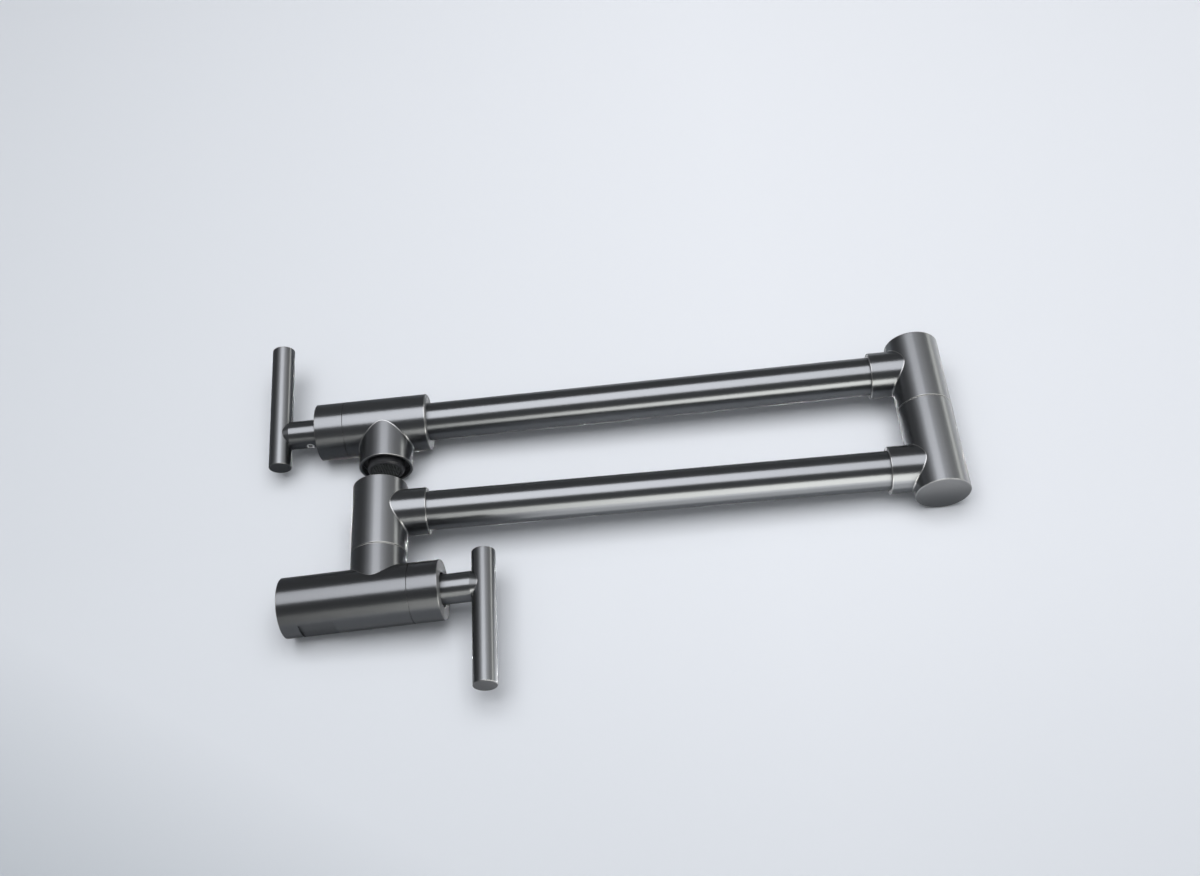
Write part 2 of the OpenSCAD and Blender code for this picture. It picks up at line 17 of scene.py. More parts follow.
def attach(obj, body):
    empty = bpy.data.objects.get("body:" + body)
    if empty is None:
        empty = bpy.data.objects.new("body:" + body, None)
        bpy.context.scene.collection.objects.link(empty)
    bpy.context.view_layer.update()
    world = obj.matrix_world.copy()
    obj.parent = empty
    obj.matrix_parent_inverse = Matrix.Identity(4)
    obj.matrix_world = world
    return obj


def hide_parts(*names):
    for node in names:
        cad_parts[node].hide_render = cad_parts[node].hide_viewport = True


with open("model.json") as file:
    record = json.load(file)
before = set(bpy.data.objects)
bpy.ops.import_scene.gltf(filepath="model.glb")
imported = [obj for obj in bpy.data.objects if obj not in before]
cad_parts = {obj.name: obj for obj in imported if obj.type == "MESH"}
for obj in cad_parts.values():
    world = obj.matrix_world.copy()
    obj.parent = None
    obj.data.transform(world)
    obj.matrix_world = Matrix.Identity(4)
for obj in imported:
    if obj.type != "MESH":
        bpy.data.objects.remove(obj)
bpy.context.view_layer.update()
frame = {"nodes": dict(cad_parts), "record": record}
scene = bpy.context.scene
scene.view_settings.view_transform = "Standard"

# %% [markdown]
# ## Sizes
# Every length below is in millimetres and is the size of the real piece. They could be measured from the
# CAD meshes, but a profile needs the designer's numbers: radii, seams and depths. The mesh builder turns
# them into metres.

# %% Sizes of the tap
MM = 0.001
HUB_R, COLLAR_R, TUBE_R, BODY_R = 14.0, 12.0, 10.0, 15.0
NOSE_R, STEM_R, BAR_R, WATER_R, SWIVEL_R = 13.0, 7.5, 6.0, 8.0, 10.05
RISER_X, INLET_SEAM, RISER_TOP = 47.0, 64.4, 22.9
LOWER_Z, SEAM_Z, UPPER_Z = 46.7, 81.0, 105.7
LOWER_ARM, UPPER_ARM = 283.0, 282.0
COLLAR_REACH, SOCKET = 25.0, 11.0
BONNET_L = 15.2

# %% [markdown]
# ## Frames
# Each turned piece is drawn standing on its own Z axis and is then laid in place. A place is an origin, the
# direction that the piece's X axis takes and the direction that its Z axis takes. The arms don't stand
# quite straight in the photograph: the lower one lies four degrees round, the upper one two and a half.

# %% Directions and places
UP = np.array([0.0, 0.0, 1.0])
LOWER_HEADING, UPPER_HEADING = 4.0, 2.5


def heading(degrees):
    """Level direction at an angle from straight out of the wall: (cos, sin, 0)."""
    a = math.radians(degrees)
    return np.array([math.cos(a), math.sin(a), 0.0])


lower_way, upper_way = heading(LOWER_HEADING), heading(UPPER_HEADING)
riser = np.array([RISER_X, 0.0, 0.0])
elbow = riser + LOWER_ARM * lower_way
outlet = elbow - UPPER_ARM * upper_way
print("elbow axis", elbow.round(3), "outlet axis", outlet.round(3))

# %% [markdown]
# ## Camera
# The photograph looks at the tap from below and in front, with a short telephoto. A pose found by fitting
# the cylinders' edges to the picture is kept as numbers: the camera's place, and its right, down and
# forward directions.

# %% Camera
EYE = np.array([0.21706, -0.60275, -0.31851])
RIGHT = np.array([0.989186, 0.131973, -0.063979])
DOWN = np.array([-0.125458, 0.535465, -0.835187])
FORWARD = np.array([-0.075964, 0.834183, 0.546232])
FOCAL_MM, SENSOR_MM, SHIFT_X = 42.24, 36.0, -0.0006

camera = bpy.data.objects.new("camera", bpy.data.cameras.new("camera"))
camera.data.lens, camera.data.sensor_width, camera.data.shift_x = FOCAL_MM, SENSOR_MM, SHIFT_X
camera.data.clip_start, camera.data.clip_end = 0.02, 50.0
turn = np.eye(4)
turn[:3, 0], turn[:3, 1], turn[:3, 2], turn[:3, 3] = RIGHT, -DOWN, -FORWARD, EYE
camera.matrix_world = Matrix(turn.tolist())
scene.collection.objects.link(camera)
scene.camera = camera
print("camera at", EYE, "lens", camera.data.lens)

# %% [markdown]
# ## Profiles with softened corners
# A sharp edge never catches light, and a real turned rim always does. So each corner of a profile gets an
# arc, with one extra point just before and after it, which keeps the smooth shading of the long faces
# straight. A modifier could bevel the finished mesh, but the profile is the cheaper and more exact place to
# do it.

# %% Rounded profile
ARC_STEPS, ARC_MARGIN, TINY = 6, 0.04, 1e-9


def facing(rows):
    """How far each profile point faces along the axis: |dr| / ds, averaged over both its stretches."""
    step = np.diff(np.vstack([rows[:, :2], rows[:1, :2]]), axis=0)
    share = np.nan_to_num(np.abs(step[:, 0]) / np.maximum(np.linalg.norm(step, axis=1), TINY))
    return np.where(rows[:, 0] < TINY, 1.0, (share + np.roll(share, 1)) / 2)


def rounded(corners):
    """Profile in (r, z) from corners (r, z, radius[, mark]), run anticlockwise round the metal.

    A corner with a radius becomes an arc about the point at radius / sin(half angle) along its bisector,
    between two tangent points at radius / tan(half angle). Returns rows of r, z, a rim mark, which is 1 on
    an arc unless the corner says otherwise, and how far the row faces along the axis.
    """
    at = np.array([c[:2] for c in corners], float)
    rows = []
    for k, (r, z, radius, *mark) in enumerate(corners):
        if radius == 0:
            rows.append([[r, z, 0.0]])
            continue
        back, on = at[k - 1] - at[k], at[(k + 1) % len(at)] - at[k]
        back, on = back / np.linalg.norm(back), on / np.linalg.norm(on)
        half = math.acos(float(np.clip(back @ on, -1, 1))) / 2
        reach = radius / math.tan(half)
        middle = at[k] + (back + on) / np.linalg.norm(back + on) * radius / math.sin(half)
        sweep, w = math.pi - 2 * half, np.linspace(0, 1, ARC_STEPS + 1)[:, None]
        first, last = at[k] + back * reach - middle, at[k] + on * reach - middle
        arc = middle + (np.sin((1 - w) * sweep) * first + np.sin(w * sweep) * last) / math.sin(sweep)
        rows.append([[*(at[k] + back * (reach + ARC_MARGIN)), 0.0]])
        rows.append(np.column_stack([arc, np.full(ARC_STEPS + 1, mark[0] if mark else 1.0)]))
        rows.append([[*(at[k] + on * (reach + ARC_MARGIN)), 0.0]])
    rows = np.vstack(rows)
    return np.column_stack([rows, facing(rows)])


print("a bar's end has", len(rounded([(0, 0, 0), (6, 0, 0.5), (6, 9, 0.5), (0, 9, 0)])), "profile points")

# %% [markdown]
# ## Skins
# A skin is a grid of points: its rows follow the profile and its columns go round the axis. Each skin
# carries a UV map whose first coordinate is the length travelled along the profile, in metres, and whose
# second is the share of a turn. The brush lines follow that map, so they run round each piece. A flat
# closed end gets a level map instead, because the photograph shows straight lines there. Its scale is that
# of a 28 mm hub's turn.

# %% Grid to faces
GRAIN_TURN = 2 * math.pi * HUB_R


def skin(points, marks, closed):
    """Faces over a grid of rows by columns by 3 that closes round its columns.

    closed joins the last row to the first; otherwise both end rows shrink to one pole each. The UV of a
    corner is (distance along the profile, column / columns), with the column counted past the seam rather
    than wrapped. On the level rows round a pole it is (x, y / the length of a turn) instead.
    """
    rows, columns = points.shape[:2]
    index = np.arange(rows * columns).reshape(rows, columns)
    if not closed:
        index[0], index[-1] = index[0, 0], index[-1, 0]
    step = np.linalg.norm(np.diff(np.vstack([points[:, 0], points[:1, 0]]), axis=0), axis=1)
    along = np.concatenate([[0.0], np.cumsum(step)]) * MM
    low = np.arange(rows if closed else rows - 1)
    i, j = np.meshgrid(low, np.arange(columns), indexing="ij")
    corner_rows, corner_columns = np.stack([i, i, i + 1, i + 1], -1), np.stack([j, j + 1, j + 1, j], -1)
    faces = index[corner_rows % rows, corner_columns % columns].reshape(-1, 4)
    uv = np.stack([along[corner_rows], corner_columns / columns], -1).reshape(-1, 4, 2)
    keep = np.full(len(faces), True)
    triangles, triangle_uv = np.zeros((0, 3), int), np.zeros((0, 3, 2))
    if not closed:
        flat = points.reshape(-1, 3)
        for pole in (0, -1):
            level = np.isclose(points[:, :, 2], points[pole, 0, 2]).all(1)
            capped = np.repeat(level[low] & level[low + 1], columns)
            uv[capped] = np.stack([flat[faces[capped], 0] * MM, flat[faces[capped], 1] / GRAIN_TURN], -1)
        row = np.repeat(low, columns)
        bottom, top = row == 0, row == rows - 2
        keep = ~(bottom | top)
        triangles = np.vstack([faces[bottom][:, [0, 2, 3]], faces[top][:, [0, 1, 2]]])
        triangle_uv = np.vstack([uv[bottom][:, [0, 2, 3]], uv[top][:, [0, 1, 2]]])
    quads, quad_uv = faces[keep], uv[keep]
    used = np.unique(index)
    renumber = np.zeros(rows * columns, int)
    renumber[used] = np.arange(len(used))
    return {"points": points.reshape(-1, 3)[used], "marks": np.repeat(marks, columns, axis=0)[used],
            "faces": [(renumber[quads], quad_uv), (renumber[triangles], triangle_uv)]}


# %% Lathe
AROUND, AROUND_SLIM = 160, 128


def lathe(profile, closed=True, columns=AROUND, shape=None, angles=None):
    """A turned skin: x = r cos a, y = r sin a, z = z, where shape(a, r, z) may change r first."""
    a = np.arange(columns) * 2 * math.pi / columns if angles is None else angles
    r, z = np.repeat(profile[:, :1], len(a), 1), np.repeat(profile[:, 1:2], len(a), 1)
    if shape is not None:
        r = shape(a[None, :], r, z)
    return skin(np.stack([r * np.cos(a), r * np.sin(a), z], -1), profile[:, 2:], closed)


# %% [markdown]
# ## Tees
# Collars, riser and spout are tubes that leave another cylinder at a right angle. A Boolean would cut them,
# but it leaves slivers that shade badly. Here a branch starts on a curve inside the wall of the cylinder
# that it leaves, and a ball rolled along the corner gives the small fillet that catches the light in the
# photograph.

# %% Branch and fillet
SUNK = 0.5


def branch(profile, inside):
    """A tube; rows of unknown z lie on a cylinder of radius inside about X: z = sqrt(inside^2 - y^2)."""
    a = np.arange(AROUND) * 2 * math.pi / AROUND
    r, z = np.repeat(profile[:, :1], AROUND, 1), np.repeat(profile[:, 1:2], AROUND, 1)
    y = r * np.sin(a)
    z = np.where(np.isnan(z), np.sqrt(np.maximum(inside ** 2 - y ** 2, 1.0)), z)
    return skin(np.stack([r * np.cos(a), y, z], -1), profile[:, 2:], True)


def fillet(big, small, radius):
    """The path of a ball that touches a cylinder of radius big about X and one of radius small about Z.

    Its centre keeps big + radius from X and small + radius from Z, so y = (small + radius) sin a and z =
    sqrt((big + radius)^2 - y^2). The fillet is the arc between the two touching points, closed inside the
    metal.
    """
    a = np.arange(AROUND) * 2 * math.pi / AROUND
    x, y = (small + radius) * np.cos(a), (small + radius) * np.sin(a)
    z = np.sqrt((big + radius) ** 2 - y ** 2)
    middle = np.stack([x, y, z], -1)
    on_big = np.stack([x, y * big / (big + radius), z * big / (big + radius)], -1)
    on_small = np.stack([x * small / (small + radius), y * small / (small + radius), z], -1)
    first, last = on_big - middle, on_small - middle
    sweep = np.arccos(np.clip((first * last).sum(-1) / radius ** 2, -1, 1))[:, None]
    w = np.linspace(0, 1, ARC_STEPS + 1)[:, None, None]
    arc = middle + (np.sin((1 - w) * sweep) * first + np.sin(w * sweep) * last) / np.sin(sweep)
    x_in, y_in = x * (small - SUNK) / (small + radius), y * (small - SUNK) / (small + radius)
    inner = np.stack([x_in, y_in, np.sqrt((big - SUNK) ** 2 - y_in ** 2)], -1)[None]
    return skin(np.vstack([arc, inner]), np.array([[1.0, 0.0]] * (ARC_STEPS + 1) + [[0.0, 0.0]]), True)


# %% [markdown]
# ## From skins to objects
# One object holds all skins of one real piece, already in place, so that its origin stays at the model's
# origin. Its shading is smooth except over edges sharper than twenty degrees, and its rims carry a mark
# that the finish reads. That finish, the gunmetal, is made before the first piece.

# %% Laying a skin in place and making the object
def laid(part, origin, x_way, z_way):
    """The part turned and moved: p = origin + x X + y (Z x X) + z Z."""
    x_way, z_way = np.asarray(x_way, float), np.asarray(z_way, float)
    turned = part["points"] @ np.array([x_way, np.cross(z_way, x_way), z_way])
    return {**part, "points": turned + np.asarray(origin, float)}


SHARP = math.radians(20)


def piece(node, parts, body, painted_dim=1.0):
    """One object from all skins of a gunmetal piece. It rides on the CAD body and stands for the CAD node.

    The last argument scales the coating's colour: painted shade, used to make the inlet valve's pieces a
    little darker.
    """
    faces, uvs, base = [], [], 0
    for part in parts:
        for corners, uv in part["faces"]:
            faces += (corners + base).tolist()
            uvs.append(uv.reshape(-1, 2))
        base += len(part["points"])
    points, marks = (np.vstack([part[key] for part in parts]) for key in ("points", "marks"))
    mesh = bpy.data.meshes.new(f"{node}_metal")
    mesh.from_pydata((points * MM).tolist(), [], faces)
    mesh.uv_layers.new(name="turning").uv.foreach_set("vector", np.vstack(uvs).astype(np.float32).ravel())
    tone = np.full(len(points), painted_dim)
    for label, values in (("rim", marks[:, 0]), ("end", marks[:, 1]), ("painted_dim", tone)):
        mesh.attributes.new(label, "FLOAT", "POINT").data.foreach_set("value", values.astype(np.float32))
    mesh.update()
    mesh.shade_smooth()
    mesh.set_sharp_from_angle(angle=SHARP)
    mesh.materials.append(gunmetal)
    thing = bpy.data.objects.new(mesh.name, mesh)
    scene.collection.objects.link(thing)
    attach(thing, body)
    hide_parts(node)
    print(f"{thing.name}: {len(faces)} faces, {(points.max(0) - points.min(0)).round(1)} mm")
    return thing


# %% [markdown]
# ## Node groups
# A finish is made of effects that several materials share: brush lines, cloudy mottle, painted rim
# highlights. Each effect is a node group with named inputs, built once and placed in each material with its
# own values.

# %% Helpers for nodes
FLOAT, VECTOR = "NodeSocketFloat", "NodeSocketVector"
NOISE_LOW, NOISE_HIGH = 0.3, 0.7


def node_group(name, inputs, outputs):
    """An empty shader group with its sockets, its input node and its output node."""
    group = bpy.data.node_groups.new(name, "ShaderNodeTree")
    for label, kind, value in inputs:
        socket = group.interface.new_socket(label, in_out="INPUT", socket_type=kind)
        if value is not None:
            socket.default_value = value
    for label, kind in outputs:
        group.interface.new_socket(label, in_out="OUTPUT", socket_type=kind)
    return group, group.nodes.new("NodeGroupInput"), group.nodes.new("NodeGroupOutput")


def filled(tree, value, socket):
    """Links a value that is a socket and sets any other."""
    if isinstance(value, bpy.types.NodeSocket):
        tree.links.new(value, socket)
    else:
        socket.default_value = value


def maths(tree, operation, *values):
    """The output of a Math node."""
    unit = tree.nodes.new("ShaderNodeMath")
    unit.operation = operation
    for k, value in enumerate(values):
        filled(tree, value, unit.inputs[k])
    return unit.outputs[0]


def times(tree, one, other):
    """one x other."""
    return maths(tree, "MULTIPLY", one, other)


def blended(tree, one, other, share):
    """one x share + other x (1 - share)."""
    return maths(tree, "ADD", times(tree, one, share), times(tree, other, 1 - share))


def mapped(tree, value, start, stop, low, high, style="LINEAR"):
    """A Map Range node that takes start to stop to low to high and holds the ends."""
    unit = tree.nodes.new("ShaderNodeMapRange")
    unit.interpolation_type = style
    for label, number in (("From Min", start), ("From Max", stop), ("To Min", low), ("To Max", high)):
        unit.inputs[label].default_value = number
    tree.links.new(value, unit.inputs["Value"])
    return unit.outputs["Result"]


def spread(tree, noise, low, high):
    """Takes 0.3 to 0.7, where noise mostly lies, to low to high."""
    return mapped(tree, noise, NOISE_LOW, NOISE_HIGH, low, high)


# %% [markdown]
# ### Brush lines
# The tap is brushed while it turns, so the lines run round it. On the UV map they are long in the turn and
# very short along the profile. The turn goes through a cosine and a sine first, so that the pattern meets
# itself at the seam.

# %% Brush lines group
brush, take, give = node_group("brush lines", [("Turning", VECTOR, None), ("Lines per mm", FLOAT, 3.0),
                                               ("Streaks per turn", FLOAT, 2.0)], [("Lines", FLOAT)])
split, join = brush.nodes.new("ShaderNodeSeparateXYZ"), brush.nodes.new("ShaderNodeCombineXYZ")
brush.links.new(take.outputs["Turning"], split.inputs[0])
angle = times(brush, split.outputs["Y"], 2 * math.pi)
for wave, axis in (("COSINE", "X"), ("SINE", "Y")):
    swing = times(brush, maths(brush, wave, angle), take.outputs["Streaks per turn"])
    brush.links.new(swing, join.inputs[axis])
length_mm = times(brush, split.outputs["X"], 1 / MM)
brush.links.new(times(brush, length_mm, take.outputs["Lines per mm"]), join.inputs["Z"])
noise = brush.nodes.new("ShaderNodeTexNoise")
noise.inputs["Scale"].default_value, noise.inputs["Detail"].default_value = 1.0, 3.0
brush.links.new(join.outputs[0], noise.inputs["Vector"])
brush.links.new(noise.outputs["Fac"], give.inputs["Lines"])
print("built", brush.name)

# %% [markdown]
# ### Mottle
# No coating or moulding is even. A soft three dimensional noise on Object coordinates varies tone and
# roughness over a few millimetres, and a fine one gives the grain of the surface.

# %% Mottle group
mottle, take, give = node_group("mottle", [("Place", VECTOR, None), ("Cloud size mm", FLOAT, 12.0),
                                           ("Grain size mm", FLOAT, 0.4)],
                                [("Cloud", FLOAT), ("Grain", FLOAT)])
for size, detail, out in (("Cloud size mm", 3.0, "Cloud"), ("Grain size mm", 2.0, "Grain")):
    noise = mottle.nodes.new("ShaderNodeTexNoise")
    noise.inputs["Detail"].default_value = detail
    mottle.links.new(maths(mottle, "DIVIDE", 1 / MM, take.outputs[size]), noise.inputs["Scale"])
    mottle.links.new(take.outputs["Place"], noise.inputs["Vector"])
    mottle.links.new(noise.outputs["Fac"], give.inputs[out])
print("built", mottle.name)

# %% [markdown]
# ### Painted rim highlights
# The mesh marks the rounded rims, and the finish paints them a bright, bare colour: a painted highlight for
# the line that light draws along each rim. The group breaks the mark up with the mottle, so that the bright
# line isn't equally strong all the way round.

# %% Painted rim highlight group
rims, take, give = node_group("painted rim highlights", [("Rim", FLOAT, 0.0), ("Cloud", FLOAT, 0.5),
                                            ("Highlight", FLOAT, 0.6)], [("Highlight", FLOAT)])
patchy = times(rims, take.outputs["Rim"], spread(rims, take.outputs["Cloud"], 0.8, 1.0))
rims.links.new(times(rims, patchy, take.outputs["Highlight"]), give.inputs["Highlight"])
print("built", rims.name)

# %% [markdown]
# ## Brushed gunmetal
# The coating is a dark, slightly blue grey metal that reflects about a fifth of the light. Brushing makes
# its highlights long across the lines and crisp along them, which is what draws the sharp bands along each
# tube. The shader's anisotropy does that, with its tangent taken from the UV map, so that it runs along the
# profile. Flat ends are ground rather than turned, so the mark "end" makes them rougher and a little
# lighter. A number per point is painted shade: it scales the colour down on the pieces of the inlet valve,
# which are a little darker in the photograph.

# %% Finish helpers
def finish(name):
    """A new node material with its tree and its Principled shader."""
    material = bpy.data.materials.new(name)
    material.use_nodes = True
    return material, material.node_tree, material.node_tree.nodes["Principled BSDF"]


def placed(tree, group, values):
    """A group node with its inputs set or linked."""
    unit = tree.nodes.new("ShaderNodeGroup")
    unit.node_tree = group
    for label, value in values.items():
        filled(tree, value, unit.inputs[label])
    return unit


def tinted(tree, factor, dark, light):
    """A colour between dark and light; either may be a socket."""
    mix = tree.nodes.new("ShaderNodeMix")
    mix.data_type = "RGBA"
    factor_in, dark_in, light_in, colour_out = mix.inputs[0], mix.inputs[6], mix.inputs[7], mix.outputs[2]
    tree.links.new(factor, factor_in)
    for colour, socket in ((dark, dark_in), (light, light_in)):
        filled(tree, (*colour, 1.0) if isinstance(colour, tuple) else colour, socket)
    return colour_out


def scaled(tree, colour, factor):
    """A colour times a number."""
    unit = tree.nodes.new("ShaderNodeVectorMath")
    unit.operation = "SCALE"
    tree.links.new(colour, unit.inputs[0])
    tree.links.new(factor, unit.inputs["Scale"])
    return unit.outputs[0]


def bumped(tree, shader, height, distance):
    """A Bump node into the shader's normal, with its depth in metres."""
    bump = tree.nodes.new("ShaderNodeBump")
    bump.inputs["Strength"].default_value, bump.inputs["Distance"].default_value = 1.0, distance
    tree.links.new(height, bump.inputs["Height"])
    tree.links.new(bump.outputs["Normal"], shader.inputs["Normal"])


# %% Gunmetal
DARK_COAT, LIGHT_COAT = (0.193, 0.199, 0.209), (0.207, 0.213, 0.222)
# The rim colour is a painted highlight.
GROUND_END, RIM_HIGHLIGHT = (0.215, 0.2185, 0.2255), (0.62, 0.62, 0.61)
SMOOTH_COAT, ROUGH_COAT, END_ROUGHER, RIM_SMOOTHER = 0.295, 0.325, 0.2, 0.06
BRUSHED_ACROSS, LINE_DEPTH = 0.82, 3e-7

gunmetal, tree, shader = finish("brushed gunmetal")
spot, turning, tangent = (tree.nodes.new(f"ShaderNode{kind}") for kind in ("TexCoord", "UVMap", "Tangent"))
turning.uv_map, tangent.direction_type, tangent.uv_map = "turning", "UV_MAP", "turning"
mark, end, painted_dim = (tree.nodes.new("ShaderNodeAttribute") for _ in range(3))
mark.attribute_name, end.attribute_name, painted_dim.attribute_name = "rim", "end", "painted_dim"
cloud = placed(tree, mottle, {"Place": spot.outputs["Object"], "Cloud size mm": 14.0, "Grain size mm": 0.5})
round_it = turning.outputs["UV"]
coarse = placed(tree, brush, {"Turning": round_it, "Lines per mm": 1.3, "Streaks per turn": 1.6})
fine = placed(tree, brush, {"Turning": round_it, "Lines per mm": 6.0, "Streaks per turn": 5.0})
rim_highlight = placed(tree, rims, {"Rim": mark.outputs["Fac"], "Cloud": cloud.outputs["Cloud"], "Highlight": 0.5})
lines = blended(tree, coarse.outputs[0], fine.outputs[0], 0.45)
tone = blended(tree, lines, cloud.outputs["Cloud"], 0.6)
metal = tinted(tree, spread(tree, tone, 0.0, 1.0), DARK_COAT, LIGHT_COAT)
# Painted shade: the per-point number scales the colour down on the inlet valve's pieces.
metal = scaled(tree, tinted(tree, end.outputs["Fac"], metal, GROUND_END), painted_dim.outputs["Fac"])
# Painted highlight: the marked rims get a bright, bare colour.
tree.links.new(tinted(tree, rim_highlight.outputs[0], metal, RIM_HIGHLIGHT), shader.inputs["Base Color"])
rougher = times(tree, end.outputs["Fac"], END_ROUGHER)
smoother = times(tree, rim_highlight.outputs[0], RIM_SMOOTHER)
rough = maths(tree, "ADD", spread(tree, tone, SMOOTH_COAT, ROUGH_COAT), rougher)
tree.links.new(maths(tree, "SUBTRACT", rough, smoother), shader.inputs["Roughness"])
shader.inputs["Metallic"].default_value, shader.inputs["Anisotropic"].default_value = 1.0, BRUSHED_ACROSS
tree.links.new(tangent.outputs[0], shader.inputs["Tangent"])
bumped(tree, shader, lines, LINE_DEPTH)
print("finish", gunmetal.name)

# %% [markdown]
# ## The hidden and the small finishes
# Brass, steel, ceramic, rubber and plastics sit inside or at the mouth. They keep their CAD shapes, and
# their finishes use the same mottle with their own grain, tone and roughness. Three details let so little
# light in that a few bounces of a renderer can't show how dark they are: the holes of the aerator's grid,
# the gap round it and the sockets of the grub screws. The tone falls there, by height or by distance from
# an axis.

# %% Shade in deep places
GRID_MOUTH, GRID_DEEP, GAP_FROM, GAP_TO = 0.07745, 0.07795, 0.0071, 0.0076
SOCKET_EDGE, SOCKET_RIM = 0.00095, 0.00125


def grid_shade(tree, colour, spot):
    """Dims a colour to 0.1 from the grid's mouth upwards, and to 0.15 in the gap round it.

    The distance from the outlet's axis is sqrt((x - outlet x)^2 + (y - outlet y)^2).
    """
    apart = tree.nodes.new("ShaderNodeSeparateXYZ")
    tree.links.new(spot, apart.inputs[0])
    colour = scaled(tree, colour, mapped(tree, apart.outputs["Z"], GRID_MOUTH, GRID_DEEP, 1.0, 0.1))
    x, y = (maths(tree, "SUBTRACT", apart.outputs[k], float(outlet[k] * MM)) for k in (0, 1))
    away = maths(tree, "SQRT", maths(tree, "ADD", times(tree, x, x), times(tree, y, y)))
    return scaled(tree, colour, mapped(tree, away, GAP_FROM, GAP_TO, 1.0, 0.15))


def socket_shade(point, way):
    """A function that dims a colour to 0.04 near a socket's axis: the distance is |(p - point) x way|."""
    def shade(tree, colour, spot):
        shift, cross, size = (tree.nodes.new("ShaderNodeVectorMath") for _ in range(3))
        shift.operation, cross.operation, size.operation = "SUBTRACT", "CROSS_PRODUCT", "LENGTH"
        shift.inputs[1].default_value, cross.inputs[1].default_value = point * MM, way
        tree.links.new(spot, shift.inputs[0])
        tree.links.new(shift.outputs[0], cross.inputs[0])
        tree.links.new(cross.outputs[0], size.inputs[0])
        return scaled(tree, colour, mapped(tree, size.outputs["Value"], SOCKET_EDGE, SOCKET_RIM, 0.04, 1.0))
    return shade


# %% Small finishes
def plain_finish(name, dark, light, rough, cloud_mm, grain_mm, metallic, depth, shade=None):
    """A finish from the mottle: tone and roughness follow the clouds, height follows the grain.

    shade is a function of the tree, the colour and the place that dims the colour in deep places.
    """
    material, tree, shader = finish(name)
    spot = tree.nodes.new("ShaderNodeTexCoord").outputs["Object"]
    cloud = placed(tree, mottle, {"Place": spot, "Cloud size mm": cloud_mm, "Grain size mm": grain_mm})
    both = blended(tree, cloud.outputs["Cloud"], cloud.outputs["Grain"], 0.5)
    colour = tinted(tree, spread(tree, both, 0.0, 1.0), dark, light)
    if shade is not None:
        colour = shade(tree, colour, spot)
    tree.links.new(colour, shader.inputs["Base Color"])
    tree.links.new(spread(tree, both, *rough), shader.inputs["Roughness"])
    shader.inputs["Metallic"].default_value = metallic
    bumped(tree, shader, cloud.outputs["Grain"], depth)
    return material


BRASS = ((0.66, 0.50, 0.24), (0.84, 0.68, 0.37), (0.20, 0.36), 3.0, 0.15, 1.0, 1e-5)
STEEL = ((0.80, 0.80, 0.80), (0.92, 0.92, 0.91), (0.30, 0.42), 2.0, 0.12, 0.35, 1e-5)
CERAMIC = ((0.88, 0.87, 0.83), (0.95, 0.94, 0.91), (0.08, 0.20), 2.5, 0.10, 0.0, 2e-6)
RUBBER = ((0.022, 0.022, 0.022), (0.045, 0.044, 0.043), (0.55, 0.78), 2.0, 0.10, 0.0, 2e-5)
ACETAL = ((0.78, 0.78, 0.74), (0.88, 0.88, 0.85), (0.35, 0.50), 3.0, 0.12, 0.0, 1e-5)
BLACK = ((0.030, 0.031, 0.033), (0.055, 0.056, 0.060), (0.26, 0.42), 2.5, 0.12, 0.0, 2e-5)
DARK = ((0.055, 0.060, 0.058), (0.105, 0.112, 0.108), (0.35, 0.55), 2.0, 0.10, 0.0, 2e-5)
finishes = {"gunmetal": gunmetal, "brass": plain_finish("turned brass", *BRASS),
            "steel": plain_finish("stainless steel", *STEEL),
            "ceramic": plain_finish("lapped ceramic", *CERAMIC),
            "rubber": plain_finish("black rubber", *RUBBER),
            "acetal": plain_finish("natural acetal", *ACETAL),
            "black_plastic": plain_finish("black moulded plastic", *BLACK),
            "dark_plastic": plain_finish("dark moulded plastic", *DARK, shade=grid_shade)}
for entry in frame["record"]["subparts"]:
    node = frame["nodes"][entry["node"]]
    node.data.materials.clear()
    node.data.materials.append(finishes[entry["material_slot"]])

# %% [markdown]
# ## Arm tubes
# Two plain 20 mm tubes, soldered 11 mm deep into their collars. Only the stretch between the collars shows.

# %% Arm tubes
PIPE_BORE_R, OUTLET_END = 8.5, 14.9


def tube(node, body, start, way, height, length):
    """A pipe along an arm: outer radius 10, bore radius 8.5."""
    ring = rounded([(TUBE_R, 0, 0.2), (TUBE_R, length, 0.2), (PIPE_BORE_R, length, 0), (PIPE_BORE_R, 0, 0)])
    piece(node, [laid(lathe(ring, columns=AROUND_SLIM), start + height * UP, UP, way)], body)


inner_end = COLLAR_REACH - SOCKET
lower_l, upper_l = LOWER_ARM - 2 * inner_end, UPPER_ARM - inner_end - OUTLET_END
tube("lower_tube", "lower_arm", riser + inner_end * lower_way, lower_way, LOWER_Z, lower_l)
tube("upper_tube", "upper_arm", outlet + OUTLET_END * upper_way, upper_way, UPPER_Z, upper_l)

# %% [markdown]
# ## Hubs
# The lower arm's hub turns on the riser, and the two halves of the elbow turn on each other. Each is a 28
# mm cylinder, closed at one end and bored at the other, with a 24 mm collar on its side.

# %% Collar of a hub
COLLAR_FROM, COLLAR_BORE_R, COLLAR_START, COLLAR_FILLET, RIM = 20.0, 7.5, HUB_R - 1.2, 0.7, 0.4
collar_ring = rounded([(COLLAR_R, np.nan, 0), (COLLAR_R, COLLAR_FROM, 0), (COLLAR_R, COLLAR_REACH, RIM),
                       (TUBE_R, COLLAR_REACH, 0.15), (TUBE_R, inner_end, 0), (COLLAR_BORE_R, inner_end, 0),
                       (COLLAR_BORE_R, np.nan, 0)])
print("a collar's profile has", len(collar_ring), "points")


